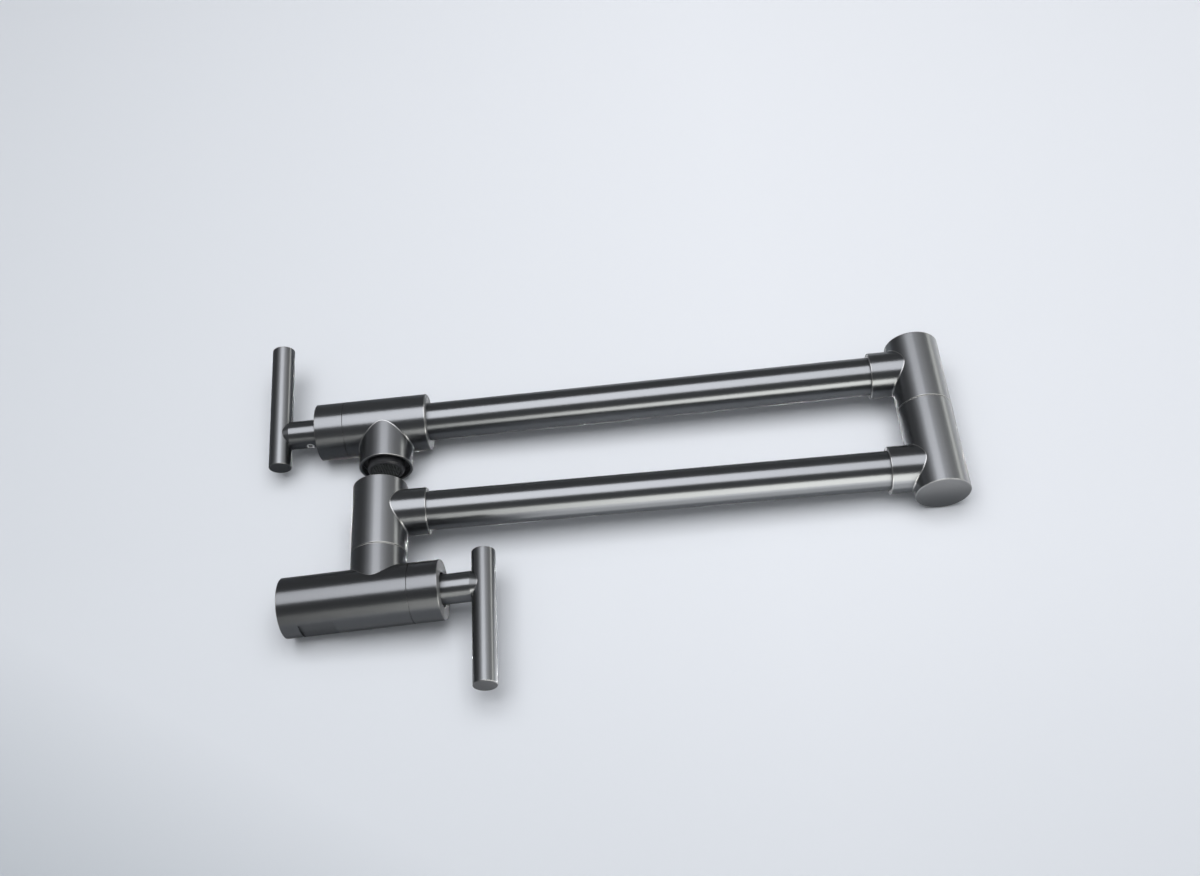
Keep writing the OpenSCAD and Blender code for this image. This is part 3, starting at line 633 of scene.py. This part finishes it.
def hub(node, body, profile, axis, way, height):
    """A turned hub about Z and its collar: the collar's X axis lies along the hub's axis."""
    start = axis + height * UP
    return piece(node, [laid(lathe(profile, closed=False), axis, way, UP),
                        laid(branch(collar_ring, COLLAR_START), start, UP, way),
                        laid(fillet(HUB_R, COLLAR_R, COLLAR_FILLET), start, UP, way)], body)


# %% Hubs
HUB_END, BORE_END, SEAM, SWIVEL_L, SPIGOT_R, SPIGOT_L = 16.0, 8.8, 0.45, 15.6, 10.0, 10.0
GROOVE_R, GROOVE_NEAR, GROOVE_FAR = 10.85, 3.3, 5.1


def clip_groove(z, side):
    """Four corners of the groove that the split clip runs in, from the seam inwards."""
    lighter_reflection, far = z + side * GROOVE_NEAR, z + side * GROOVE_FAR
    return [(SWIVEL_R, lighter_reflection, 0), (GROOVE_R, lighter_reflection, 0), (GROOVE_R, far, 0), (SWIVEL_R, far, 0)]


foot, top, bore, end_z = RISER_TOP + SEAM, LOWER_Z + HUB_END, RISER_TOP + SWIVEL_L, LOWER_Z + BORE_END
profile = rounded([(0, end_z, 0), (WATER_R, end_z, 0), (WATER_R, bore, 0), (SWIVEL_R, bore, 0),
                   *clip_groove(RISER_TOP, 1)[::-1], (SWIVEL_R, foot, 0), (HUB_R, foot, 0.4),
                   (HUB_R, top, 0.6, 0.6), (0, top, 0)])
hub("lower_hub", "lower_arm", profile, riser, lower_way, LOWER_Z)
joint = SEAM_Z + SEAM
foot, bore, end_z = LOWER_Z - HUB_END, joint - SWIVEL_L, LOWER_Z - BORE_END
profile = rounded([(0, foot, 0), (HUB_R, foot, 0.5, 0.35), (HUB_R, SEAM_Z, 0.25), (SWIVEL_R, SEAM_Z, 0),
                   *clip_groove(joint, -1), (SWIVEL_R, bore, 0), (WATER_R, bore, 0), (WATER_R, end_z, 0),
                   (0, end_z, 0)])
elbow_piece = hub("elbow_lower_hub", "lower_arm", profile, elbow, -lower_way, LOWER_Z)
top, bore, end_z = UPPER_Z + HUB_END, joint + SPIGOT_L, UPPER_Z + BORE_END
profile = rounded([(0, end_z, 0), (WATER_R, end_z, 0), (WATER_R, bore, 0), (SPIGOT_R, bore, 0),
                   (SPIGOT_R, joint, 0), (HUB_R, joint, 0.25), (HUB_R, top, 0.6, 0.6), (0, top, 0)])
hub("elbow_upper_hub", "upper_arm", profile, elbow, -upper_way, UPPER_Z)

# %% [markdown]
# ## Inlet valve body
# A 30 mm body along the wall's axis. Two spanner flats are milled above and below, the wall pipe screws
# into a half inch parallel thread, and the riser stands on top. The flats are the lathe's radius cut off by
# a plane, and the thread is a helical wave on the bore, both as functions of the angle and the length.

# %% Flats and thread
FLAT_FROM, FLAT_TO, FLAT_R = 9.2, 27.2, BODY_R - 1.5
THREAD_R, THREAD_L, THREAD_DEPTH, PITCH = 9.32, 15.0, 1.1, 25.4 / 14


def inlet_shape(a, r, z):
    """Radius with flats and thread: min(r, h / |cos a|) on the flats, r + a helical wave in the bore."""
    on_flat = (r > HUB_R) & (z > FLAT_FROM + 0.05) & (z < FLAT_TO - 0.05)
    r = np.where(on_flat, np.minimum(r, FLAT_R / np.maximum(np.abs(np.cos(a)), 0.2)), r)
    phase = (z / PITCH - a / (2 * math.pi)) % 1.0
    wave = np.clip(1.25 - 2.5 * np.abs(phase - 0.5), 0, 1)
    fade = np.clip(z / 0.9, 0, 1) * np.clip((THREAD_L - 0.4 - z) / 1.2, 0, 1)
    in_thread = (np.abs(r - THREAD_R) < 0.01) & (z > 0.2) & (z < THREAD_L - 0.3)
    return np.where(in_thread, r + THREAD_DEPTH * wave * fade, r)


edge = math.acos(FLAT_R / BODY_R)
around = np.arange(192) * 2 * math.pi / 192
for exact in (edge, math.pi - edge, math.pi + edge, 2 * math.pi - edge):
    around[np.argmin(np.abs(around - exact))] = exact
flat_rows = [(BODY_R, FLAT_FROM + step, 0) for step in (0, 0.12, 0.2)]
flat_rows += [(BODY_R, FLAT_TO - step, 0) for step in (0.2, 0.12, 0)]
thread_rows = [(THREAD_R, z, 0) for z in np.linspace(THREAD_L - 0.2, 0.15, 100)]
print("flats", FLAT_TO - FLAT_FROM, "mm long, thread pitch", round(PITCH, 3), "mm")

# %% Inlet body
# Painted shade: the inlet valve's pieces get their coat colour scaled by 0.82.
OUT, INLET_PAINTED_DIM = np.array([1.0, 0.0, 0.0]), 0.82
NOSE_END, SCREWED_R, CARTRIDGE_R, PORT_R = 5.0, 10.5, 9.5, 5.0
SCREWED_L, CARTRIDGE_L, PORT_L, BRANCH_START = 6.0, 28.96, 31.96, 14.5


def valve_front(seam):
    """Corners from the seam over the nose under the ring and down the cartridge's bore to its port."""
    nose, screwed, seat, port = seam + NOSE_END, seam - SCREWED_L, seam - CARTRIDGE_L, seam - PORT_L
    return [(BODY_R, seam, 0.1, 0), (NOSE_R, seam, 0), (NOSE_R, nose, 0.3), (SCREWED_R, nose, 0),
            (SCREWED_R, screwed, 0), (CARTRIDGE_R, screwed, 0), (CARTRIDGE_R, seat, 0), (PORT_R, seat, 0),
            (PORT_R, port, 0), (WATER_R, port, 0)]


inlet_ring = rounded([(BODY_R, 0, RIM), *flat_rows, *valve_front(INLET_SEAM), (WATER_R, THREAD_L, 0),
                      (THREAD_R, THREAD_L, 0), *thread_rows, (THREAD_R, 0, 0)])
bore = RISER_TOP - SPIGOT_L
riser_ring = rounded([(HUB_R, np.nan, 0), (HUB_R, 18.0, 0), (HUB_R, RISER_TOP, 0.2),
                      (SPIGOT_R, RISER_TOP, 0), (SPIGOT_R, bore, 0), (WATER_R, bore, 0),
                      (WATER_R, np.nan, 0)])
piece("inlet_body", [laid(lathe(inlet_ring, shape=inlet_shape, angles=around), np.zeros(3), UP, OUT),
                     laid(branch(riser_ring, BRANCH_START), riser, OUT, UP),
                     laid(fillet(BODY_R, HUB_R, 0.45), riser, OUT, UP)], "wall_valve", INLET_PAINTED_DIM)

# %% [markdown]
# ## Outlet valve body
# The same body at the end of the upper arm, with a spout that points down. The mouth is bored 25.2 mm wide
# and the aerator's black ring stands 2.2 mm out of it, so the spout's rim reads as a thin bright line round
# a dark step.

# %% Outlet body and spout
TO_SEAM, TO_END, DROP = 20.9, 22.9, 26.5
MOUTH_R, MOUTH_L, AERATOR_R, AERATOR_L, MOUTH_GROUND = 12.6, 3.5, 12.0, 12.0, 0.3
inner, stop, roof = -TO_SEAM - TO_END, -TO_SEAM - OUTLET_END, DROP - AERATOR_L
outlet_ring = rounded([(BODY_R, inner, 0.6), *valve_front(0.0), (WATER_R, stop, 0), (TUBE_R, stop, 0),
                       (TUBE_R, inner, 0.15)])
spout_ring = rounded([(HUB_R, np.nan, 0), (HUB_R, 20.0, 0), (HUB_R, DROP, 0.4), (MOUTH_R, DROP, 0.25, 0.0),
                      (MOUTH_R, DROP - MOUTH_L, 0), (AERATOR_R, DROP - MOUTH_L, 0), (AERATOR_R, roof, 0),
                      (WATER_R, roof, 0), (WATER_R, np.nan, 0)])
spout_ring[:, 3] *= MOUTH_GROUND
nozzle = outlet + UPPER_Z * UP
seam = nozzle - TO_SEAM * upper_way
piece("outlet_body", [laid(lathe(outlet_ring), seam, UP, -upper_way),
                      laid(branch(spout_ring, BRANCH_START), nozzle, upper_way, -UP),
                      laid(fillet(BODY_R, HUB_R, 0.7), nozzle, upper_way, -UP)], "upper_arm")

# %% [markdown]
# ## Bonnet rings
# A screwed ring covers each cartridge. It has the body's own diameter, so only a hairline seam shows, and a
# hole in its front for the lever's stem.

# %% Bonnet rings
SEAM_STEP, SEAM_R, HOLE_R, FRONT_BACK = 0.3, BODY_R - 0.6, 8.75, BONNET_L - 3
bonnet = rounded([(SEAM_R, 0, 0), (SEAM_R, SEAM_STEP, 0), (BODY_R, SEAM_STEP, 0.1, 0),
                  (BODY_R, BONNET_L, 0.4, 0.4), (HOLE_R, BONNET_L, 0.4), (HOLE_R, FRONT_BACK, 0),
                  (NOSE_R, FRONT_BACK, 0), (NOSE_R, 0, 0)])
fronts = {"inlet": (np.array([INLET_SEAM, 0.0, 0.0]), OUT), "outlet": (seam, -upper_way)}
# The inlet ring gets the same painted shade as the inlet body.
for valve, body, painted_dim in (("inlet", "wall_valve", INLET_PAINTED_DIM), ("outlet", "upper_arm", 1.0)):
    origin, way = fronts[valve]
    piece(f"{valve}_bonnet_ring", [laid(lathe(bonnet), origin, UP, way)], body, painted_dim)

# %% [markdown]
# ## Levers
# A 15 mm stem comes out of the ring, narrows to a nose and wraps the 12 mm lever bar with a pointed V on
# either side. The V is where the nose's surface enters the bar: for each angle round the stem, the height
# is found by halving an interval. A Boolean would do it too, but with a rough edge. The hole for the grub
# screw is a round patch in the grid, made of rings that shrink from a square.

# %% Where the stem meets the bar
NOSE_L, NOSE_TIP_R, HALVINGS = 5.8, 4.65, 40


def nose_radius(z, bar_z):
    """Stem radius: 7.5, then narrowing to 4.65 over the last 5.8 mm before the bar's axis."""
    return STEM_R - np.clip((z - bar_z + NOSE_L) / NOSE_L, 0, 1) * (STEM_R - NOSE_TIP_R)


def wrap_height(a, bar_z):
    """Lowest z at which the stem's surface enters the bar: (r sin a)^2 + (z - bar_z)^2 = 36."""
    low, high = np.full(len(a), bar_z - BAR_R - 0.5), np.full(len(a), bar_z)
    for _ in range(HALVINGS):
        middle = (low + high) / 2
        hit = (nose_radius(middle, bar_z) * np.sin(a)) ** 2 + (middle - bar_z) ** 2 < BAR_R ** 2
        low, high = np.where(hit, low, middle), np.where(hit, middle, high)
    return high


gaps = 20.0 - wrap_height(np.array([0.0, math.pi / 2]), 20.0)
print("the stem ends", gaps.round(2), "mm before the bar's axis, on the bar's line and at its side")

# %% Hole for the grub screw
CELL, HALF, GRUB_AT = 2 * math.pi * STEM_R / AROUND_SLIM, 8, BONNET_L + 5.3
GRUB_HOLE_R, GRUB_R, GRUB_WELL = 2.35, 2.0, 3.4


def on_stem(sideways, up, sunk=0.0):
    """Point on or below the stem's side of -X: x = sunk - sqrt(R^2 - s^2), y = -s, z = hole's z + up."""
    return np.stack([sunk - np.sqrt(STEM_R ** 2 - sideways ** 2), -sideways, GRUB_AT + up], -1)


def drilled(grid):
    """Replaces a square of 16 by 16 cells on the side by rings of cells that shrink to a round hole.

    A square point at angle t pairs with the circle point at t. On the surface a circle point has the
    sideways reach R sin(u / R), so u = R asin(hole cos t / R). Below it the rings go down a chamfer and a
    straight wall.
    """
    points, (quads, uv) = grid["points"], grid["faces"][0]
    z, turned, slack = points[quads][..., 2], uv[..., 1], 1e-6
    inside = ((np.abs(turned - 0.5) < HALF / AROUND_SLIM + slack)
              & (np.abs(z - GRUB_AT) < (HALF + 0.01) * CELL)
              & (np.linalg.norm(points[quads][..., :2], axis=-1) > STEM_R - 0.1)).all(1)
    reach, far = np.arange(-HALF, HALF), np.full(2 * HALF, HALF)
    four_sides = ((reach, -far), (far, reach), (-reach, far), (-far, -reach))
    square = CELL * np.vstack([np.stack(pair, -1) for pair in four_sides])
    t = np.arctan2(square[:, 1], square[:, 0])
    circle = np.stack([STEM_R * np.arcsin(GRUB_HOLE_R * np.cos(t) / STEM_R), GRUB_HOLE_R * np.sin(t)], -1)
    rings, flat, rim = [], [], []
    for w in (0.0, 0.35, 0.65, 0.88, 1.0):
        flat.append((1 - w) * square + w * circle)
        rings.append(on_stem(STEM_R * np.sin(flat[-1][:, 0] / STEM_R), flat[-1][:, 1]))
        rim.append(0)
    # The hole's top two rings carry the rim mark: a painted highlight round the hole.
    for radius, sunk, highlight_here in ((GRUB_HOLE_R - 0.1, 0.06, 1), (GRUB_R + 0.02, 0.33, 1),
                                    (GRUB_R, 0.42, 0), (GRUB_R, GRUB_WELL, 0)):
        flat.append(np.stack([radius * np.cos(t), radius * np.sin(t)], -1))
        rings.append(on_stem(flat[-1][:, 0], flat[-1][:, 1], sunk))
        rim.append(highlight_here)
    rings, flat, rim = np.array(rings), np.array(flat), np.repeat(rim, len(t)).astype(float)
    index = len(points) + np.arange(rings[..., 0].size).reshape(rings.shape[:2])
    index[0] = np.linalg.norm(points[None] - rings[0][:, None], axis=-1).argmin(1)

    def cells(rows):
        turned_on = np.roll(rows, -1, 1)
        return np.stack([rows[:-1], turned_on[:-1], turned_on[1:], rows[1:]], 2)

    low_v = uv[inside][..., 0].min() + HALF * CELL * MM
    flat_uv = np.stack([low_v + flat[..., 1] * MM, 0.5 + flat[..., 0] / STEM_R / (2 * math.pi)], -1)
    sides = (np.vstack([quads[~inside], cells(index).reshape(-1, 4)]),
             np.vstack([uv[~inside], cells(flat_uv).reshape(-1, 4, 2)]))
    return {"points": np.vstack([points, rings.reshape(-1, 3)]),
            "marks": np.vstack([grid["marks"], np.stack([rim, 0 * rim], -1)]),
            "faces": [sides, grid["faces"][1]]}


# %% Stem that wraps the bar
STEM_BORE_R, STEM_BORE_END, STEM_FOOT = 4.0, BONNET_L + 9.6, BONNET_L - 3.9


def stem(bar_z):
    """Stem about Z with the bar along X and a hole for the grub screw on the side of -X.

    Rows climb from the bore's end over the foot and the side to the wrap curve, and then close over the
    bar. The profile's last two corners only give the side its direction.
    """
    a = np.arange(AROUND_SLIM) * 2 * math.pi / AROUND_SLIM
    ends = rounded([(0, STEM_BORE_END, 0), (STEM_BORE_R, STEM_BORE_END, 0), (STEM_BORE_R, STEM_FOOT, 0),
                    (STEM_R, STEM_FOOT, 0.3), (STEM_R, STEM_FOOT + 9, 0), (STEM_R, STEM_FOOT + 10, 0)])[:-2]
    side = np.concatenate([GRUB_AT + CELL * np.arange(-HALF, HALF + 1), [GRUB_AT + 4.5]])
    wrap = wrap_height(a, bar_z)
    shoulder = np.minimum(bar_z - NOSE_L, wrap - 0.03)
    z = [np.full(len(a), v) for v in (*ends[:, 1], *side)]
    r = [np.full(len(a), v) for v in (*ends[:, 0], *(0 * side + STEM_R))]
    for w in (0.5, 1.0):
        z.append((1 - w) * side[-1] + w * (shoulder - 0.02))
        r.append(np.full(len(a), STEM_R))
    for w in np.linspace(0, 1, 7):
        z.append(shoulder + w * (wrap - shoulder))
        r.append(nose_radius(z[-1], bar_z))
    wrap_row, wrap_r = len(z) - 1, r[-1]
    for share in (0.9, 0.5, 0.0):
        r.append(share * wrap_r)
        across = np.minimum(r[-1] * np.abs(np.sin(a)), BAR_R - 0.1)
        z.append(bar_z - 0.02 - np.sqrt(BAR_R ** 2 - across ** 2))
    r, z, marks = np.array(r), np.array(z), np.zeros((len(z), 2))
    # The wrap row carries the rim mark: a painted highlight along the V.
    marks[:len(ends)], marks[wrap_row, 0] = ends[:, 2:], 1.0
    return drilled(skin(np.stack([r * np.cos(a), r * np.sin(a), z], -1), marks, False))


# %% Levers in place
BAR_LOW, BAR_HIGH = -18.6, 53.4
rod = rounded([(0, BAR_LOW, 0), (BAR_R, BAR_LOW, 0.5, 0.4), (BAR_R, BAR_HIGH, 0.5, 0.4), (0, BAR_HIGH, 0)])
for valve, long_end, lean, reach in (("inlet", -UP, -1.5, 20.1), ("outlet", UP, -6.0, 21.5)):
    (origin, way), body, spin, bar_z = fronts[valve], f"{valve}_lever", math.radians(lean), BONNET_L + reach
    bar_way = math.cos(spin) * long_end + math.sin(spin) * np.cross(way, long_end)
    piece(f"{valve}_lever_stem", [laid(stem(bar_z), origin, bar_way, way)], body)
    bar = laid(lathe(rod, closed=False, columns=AROUND_SLIM), origin + bar_z * way, way, bar_way)
    piece(f"{valve}_lever_bar", [bar], body)
    under = origin + GRUB_AT * way
    screw, shade = frame["nodes"][f"{valve}_grub_screw"], socket_shade(under, bar_way)
    screw.data.materials[0] = plain_finish(f"{valve} grub screw steel", *STEEL, shade=shade)
    print(valve, "grub screw under", under.round(1), "bar way", bar_way.round(3))

# %% [markdown]
# ## Backdrop
# The tap lies on a plain pale sheet, which is tilted a little and takes its soft shadow. The sheet's colour
# is painted darker towards the lower left: painted shade for the fall of the light, as in the photograph. A
# glossy ray sees a dimmer copy of it, painted lighter to the right and below: a painted reflection, because
# the undersides of the metal are dark there. Its back is clear, so that the tap can be seen and lit from
# behind. When an arm swings back, the sheet gives way: it copies the depth of the elbow's far side, but
# never comes nearer than at rest.

# %% Sheet behind the tap
SHEET_Y, SLOPE_X, SLOPE_Z, HALF_SHEET = 0.0156, 0.0525, 0.05, 1.6


def on_paper(x, z, above=0.0):
    """Point of the sheet: y = 0.0156 + 0.0525 x + 0.05 z, or a little in front of it."""
    return np.array([x, SHEET_Y + SLOPE_X * x + SLOPE_Z * z - above, z])


spots = np.empty(3 * len(elbow_piece.data.vertices), np.float32)
elbow_piece.data.vertices.foreach_get("co", spots)
spots = spots.reshape(-1, 3)
outer = np.flatnonzero((spots / MM - elbow) @ lower_way > HUB_R - 0.1)
elbow_piece.vertex_groups.new(name="far side").add(outer.tolist(), 1.0, "REPLACE")
rest_y = float(spots[outer, 1].mean())
corners = [(HALF_SHEET * a, HALF_SHEET * b) for a, b in ((-1, -1), (1, -1), (1, 1), (-1, 1))]
sheet = bpy.data.meshes.new("backdrop")
sheet.from_pydata([(on_paper(x, z) - [0.0, rest_y, 0.0]).tolist() for x, z in corners], [], [(0, 1, 2, 3)])
backdrop = bpy.data.objects.new("backdrop", sheet)
scene.collection.objects.link(backdrop)
follow, stop = backdrop.constraints.new("COPY_LOCATION"), backdrop.constraints.new("LIMIT_LOCATION")
follow.target, follow.subtarget, follow.use_x, follow.use_z = elbow_piece, "far side", False, False
stop.use_min_y, stop.min_y = True, rest_y
print("sheet through", on_paper(0, 0), "elbow's far side at y", round(rest_y, 4))

# %% Pale paper
PAPER_SHADE, PAPER_LIT = (0.46, 0.495, 0.53), (0.918, 0.941, 0.982)
# Colours of the painted reflection: the paper as glossy rays see it.
REFLECTED_DARK, REFLECTED_LIGHT = (0.17, 0.178, 0.19), (0.48, 0.50, 0.52)


def mixed(tree, factor, one, other):
    """A Mix Shader node between two shader outputs."""
    mix = tree.nodes.new("ShaderNodeMixShader")
    for socket, value in zip(mix.inputs, (factor, one, other)):
        tree.links.new(value, socket)
    return mix.outputs[0]


paper, tree, shader = finish("pale paper")
shader.inputs["Roughness"].default_value, shader.inputs["Specular IOR Level"].default_value = 1.0, 0.0
split = tree.nodes.new("ShaderNodeSeparateXYZ")
tree.links.new(tree.nodes.new("ShaderNodeTexCoord").outputs["Object"], split.inputs[0])
x, z = split.outputs["X"], split.outputs["Z"]
# Painted shade and light: the paper's colour darkens towards the left, the bottom and the lower left
# corner, and lightens towards the top.
across = mapped(tree, x, -0.25, 0.25, 0.84, 1.02)
upward = mapped(tree, z, -0.25, 0.04, 0.90, 1.03, "SMOOTHSTEP")
climb = mapped(tree, z, 0.05, 0.5, 1.0, 1.07)
corner = mapped(tree, maths(tree, "ADD", x, times(tree, z, 1.6)), -0.34, -0.13, 0.77, 1.0)
whole = times(tree, times(tree, across, upward), times(tree, climb, corner))
share = times(tree, maths(tree, "SUBTRACT", whole, 0.6), 1 / 0.55)
tree.links.new(tinted(tree, share, PAPER_SHADE, PAPER_LIT), shader.inputs["Base Color"])
# Painted reflection: glossy rays see a dimmer copy of the paper, painted lighter to the right and below.
lighter_reflection = maths(tree, "MAXIMUM", mapped(tree, x, 0.02, 0.16, 0.0, 1.0), mapped(tree, z, 0.01, -0.04, 0.0, 0.5))
back, clear, dim, rays = (tree.nodes.new(f"ShaderNode{kind}") for kind in
                          ("NewGeometry", "BsdfTransparent", "BsdfDiffuse", "LightPath"))
tree.links.new(tinted(tree, lighter_reflection, REFLECTED_DARK, REFLECTED_LIGHT), dim.inputs["Color"])
seen = mixed(tree, rays.outputs["Is Glossy Ray"], shader.outputs[0], dim.outputs[0])
gone = maths(tree, "MAXIMUM", back.outputs["Backfacing"], rays.outputs["Is Shadow Ray"])
tree.links.new(mixed(tree, gone, seen, clear.outputs[0]), tree.nodes["Material Output"].inputs["Surface"])
sheet.materials.append(paper)
print("finish", paper.name)

# %% [markdown]
# ## Light
# A brushed cylinder shows its lamps as bands, so the bands in the photograph say where the lamps are. Four
# boxes nested in front make one wide band that fades at its ends. A low box and a strip at the right make
# the two sharp bands, and a weak fill and a rear box keep the other sides readable. Cards on the sheet
# stand for the light that it gives back. The metal alone sees all these. One box and one fill light the
# paper alone, so that the shadow is as soft as in the photograph. The world is pale to the camera and dim
# to everything else.

# %% Lamp helper
def lamp(name, sees_it, place, aim, size, radiance, colour):
    """A rectangular lamp that the metal or the paper alone sees: its power is radiance x pi x area."""
    data = bpy.data.lights.new(name, "AREA")
    data.shape, data.size, data.size_y = "RECTANGLE", size[0], size[1]
    data.energy, data.color = radiance * math.pi * size[0] * size[1], colour
    thing = bpy.data.objects.new(name, data)
    z_way = np.asarray(place, float) - np.asarray(aim, float)
    z_way /= np.linalg.norm(z_way)
    x_way = np.cross(UP, z_way)
    x_way /= np.linalg.norm(x_way)
    at = np.eye(4)
    at[:3, 0], at[:3, 1], at[:3, 2], at[:3, 3] = x_way, np.cross(z_way, x_way), z_way, place
    thing.matrix_world = Matrix(at.tolist())
    thing.visible_camera = False
    thing.visible_diffuse, thing.visible_glossy = sees_it == "paper", sees_it == "metal"
    scene.collection.objects.link(thing)
    print(f"{name}: {data.energy:.2f} W over {size} m")
    return thing


# %% Lamps
COOL, WARM, WHITE = (0.97, 0.975, 1.0), (1.0, 0.995, 0.93), (1.0, 1.0, 0.98)
PALE, SKY, GREY = (1.0, 1.0, 0.99), (0.98, 0.985, 1.0), (0.97, 0.98, 1.0)
FRONT = np.array([0.16, -1.6, 0.40])
for k, (reach, radiance) in enumerate(((0.46, 1.75), (0.85, 1.15), (1.50, 0.62), (2.60, 0.28))):
    place = FRONT - np.array([0.0, 0.02 * k, 0.0])
    lamp(f"front box {k + 1}", "metal", place, place * (1, 0, 1), (2 * reach, 1.40), radiance, COOL)
rear = lamp("rear box", "metal", (0.17, 1.3, 0.75), (0.17, 0.0, 0.05), (2.4, 0.9), 0.95, GREY)
rear.data.cycles.use_multiple_importance_sampling = False
lamp("low box", "metal", (0.57, -0.16, -0.5), (0.57, -0.1601, 0.05), (1.0, 0.38), 3.8, WARM)
lamp("right strip", "metal", (2.0, -0.19, 0.7), (0.2, -0.15, 0.05), (0.44, 1.6), 2.5, WARM)
lamp("right fill", "metal", (1.6, -1.3, 0.5), (0.2, 0.0, 0.05), (1.6, 1.6), 0.65, WHITE)
CARDS = ((0.115, 0.9, -0.6, 0.02, 0.9), (0.115, 0.9, -0.6, -0.03, 0.9),
         (-0.7, 0.115, -0.6, -0.02, 0.1), (0.36, 0.9, 0.03, 0.45, 0.9))
for k, (low_x, high_x, low_z, high_z, radiance) in enumerate(CARDS):
    place = on_paper((low_x + high_x) / 2, (high_z + low_z) / 2, 0.0003 + 0.0001 * k)
    aim, size = place + np.array([SLOPE_X, -1.0, SLOPE_Z]), (high_x - low_x, high_z - low_z)
    card = lamp(f"foot card {k + 1}", "metal", place, aim, size, radiance, PALE)
    placement = card.matrix_world.copy()
    placement.translation.y -= rest_y
    card.parent, card.matrix_local = backdrop, placement
lamp("paper box", "paper", (0.20, -1.5, 0.14), (0.16, 0.0, 0.05), (1.6, 1.3), 2.85, SKY)
lamp("paper fill", "paper", (0.2, -2.0, 0.0), (0.2, 0.0, 0.0), (5.0, 4.0), 0.35, SKY)

# %% World
world = bpy.data.worlds.new("studio")
scene.world = world
world.use_nodes = True
tree = world.node_tree
studio, pale = tree.nodes["Background"], tree.nodes.new("ShaderNodeBackground")
for sky, colour, strength in ((studio, (0.95, 0.97, 1.0, 1.0), 0.16), (pale, (0.80, 0.83, 0.88, 1.0), 1.0)):
    sky.inputs["Color"].default_value, sky.inputs["Strength"].default_value = colour, strength
from_camera = tree.nodes.new("ShaderNodeLightPath").outputs["Is Camera Ray"]
light = mixed(tree, from_camera, studio.outputs[0], pale.outputs[0])
tree.links.new(light, tree.nodes["World Output"].inputs["Surface"])
print("world is pale to the camera and dim to the metal")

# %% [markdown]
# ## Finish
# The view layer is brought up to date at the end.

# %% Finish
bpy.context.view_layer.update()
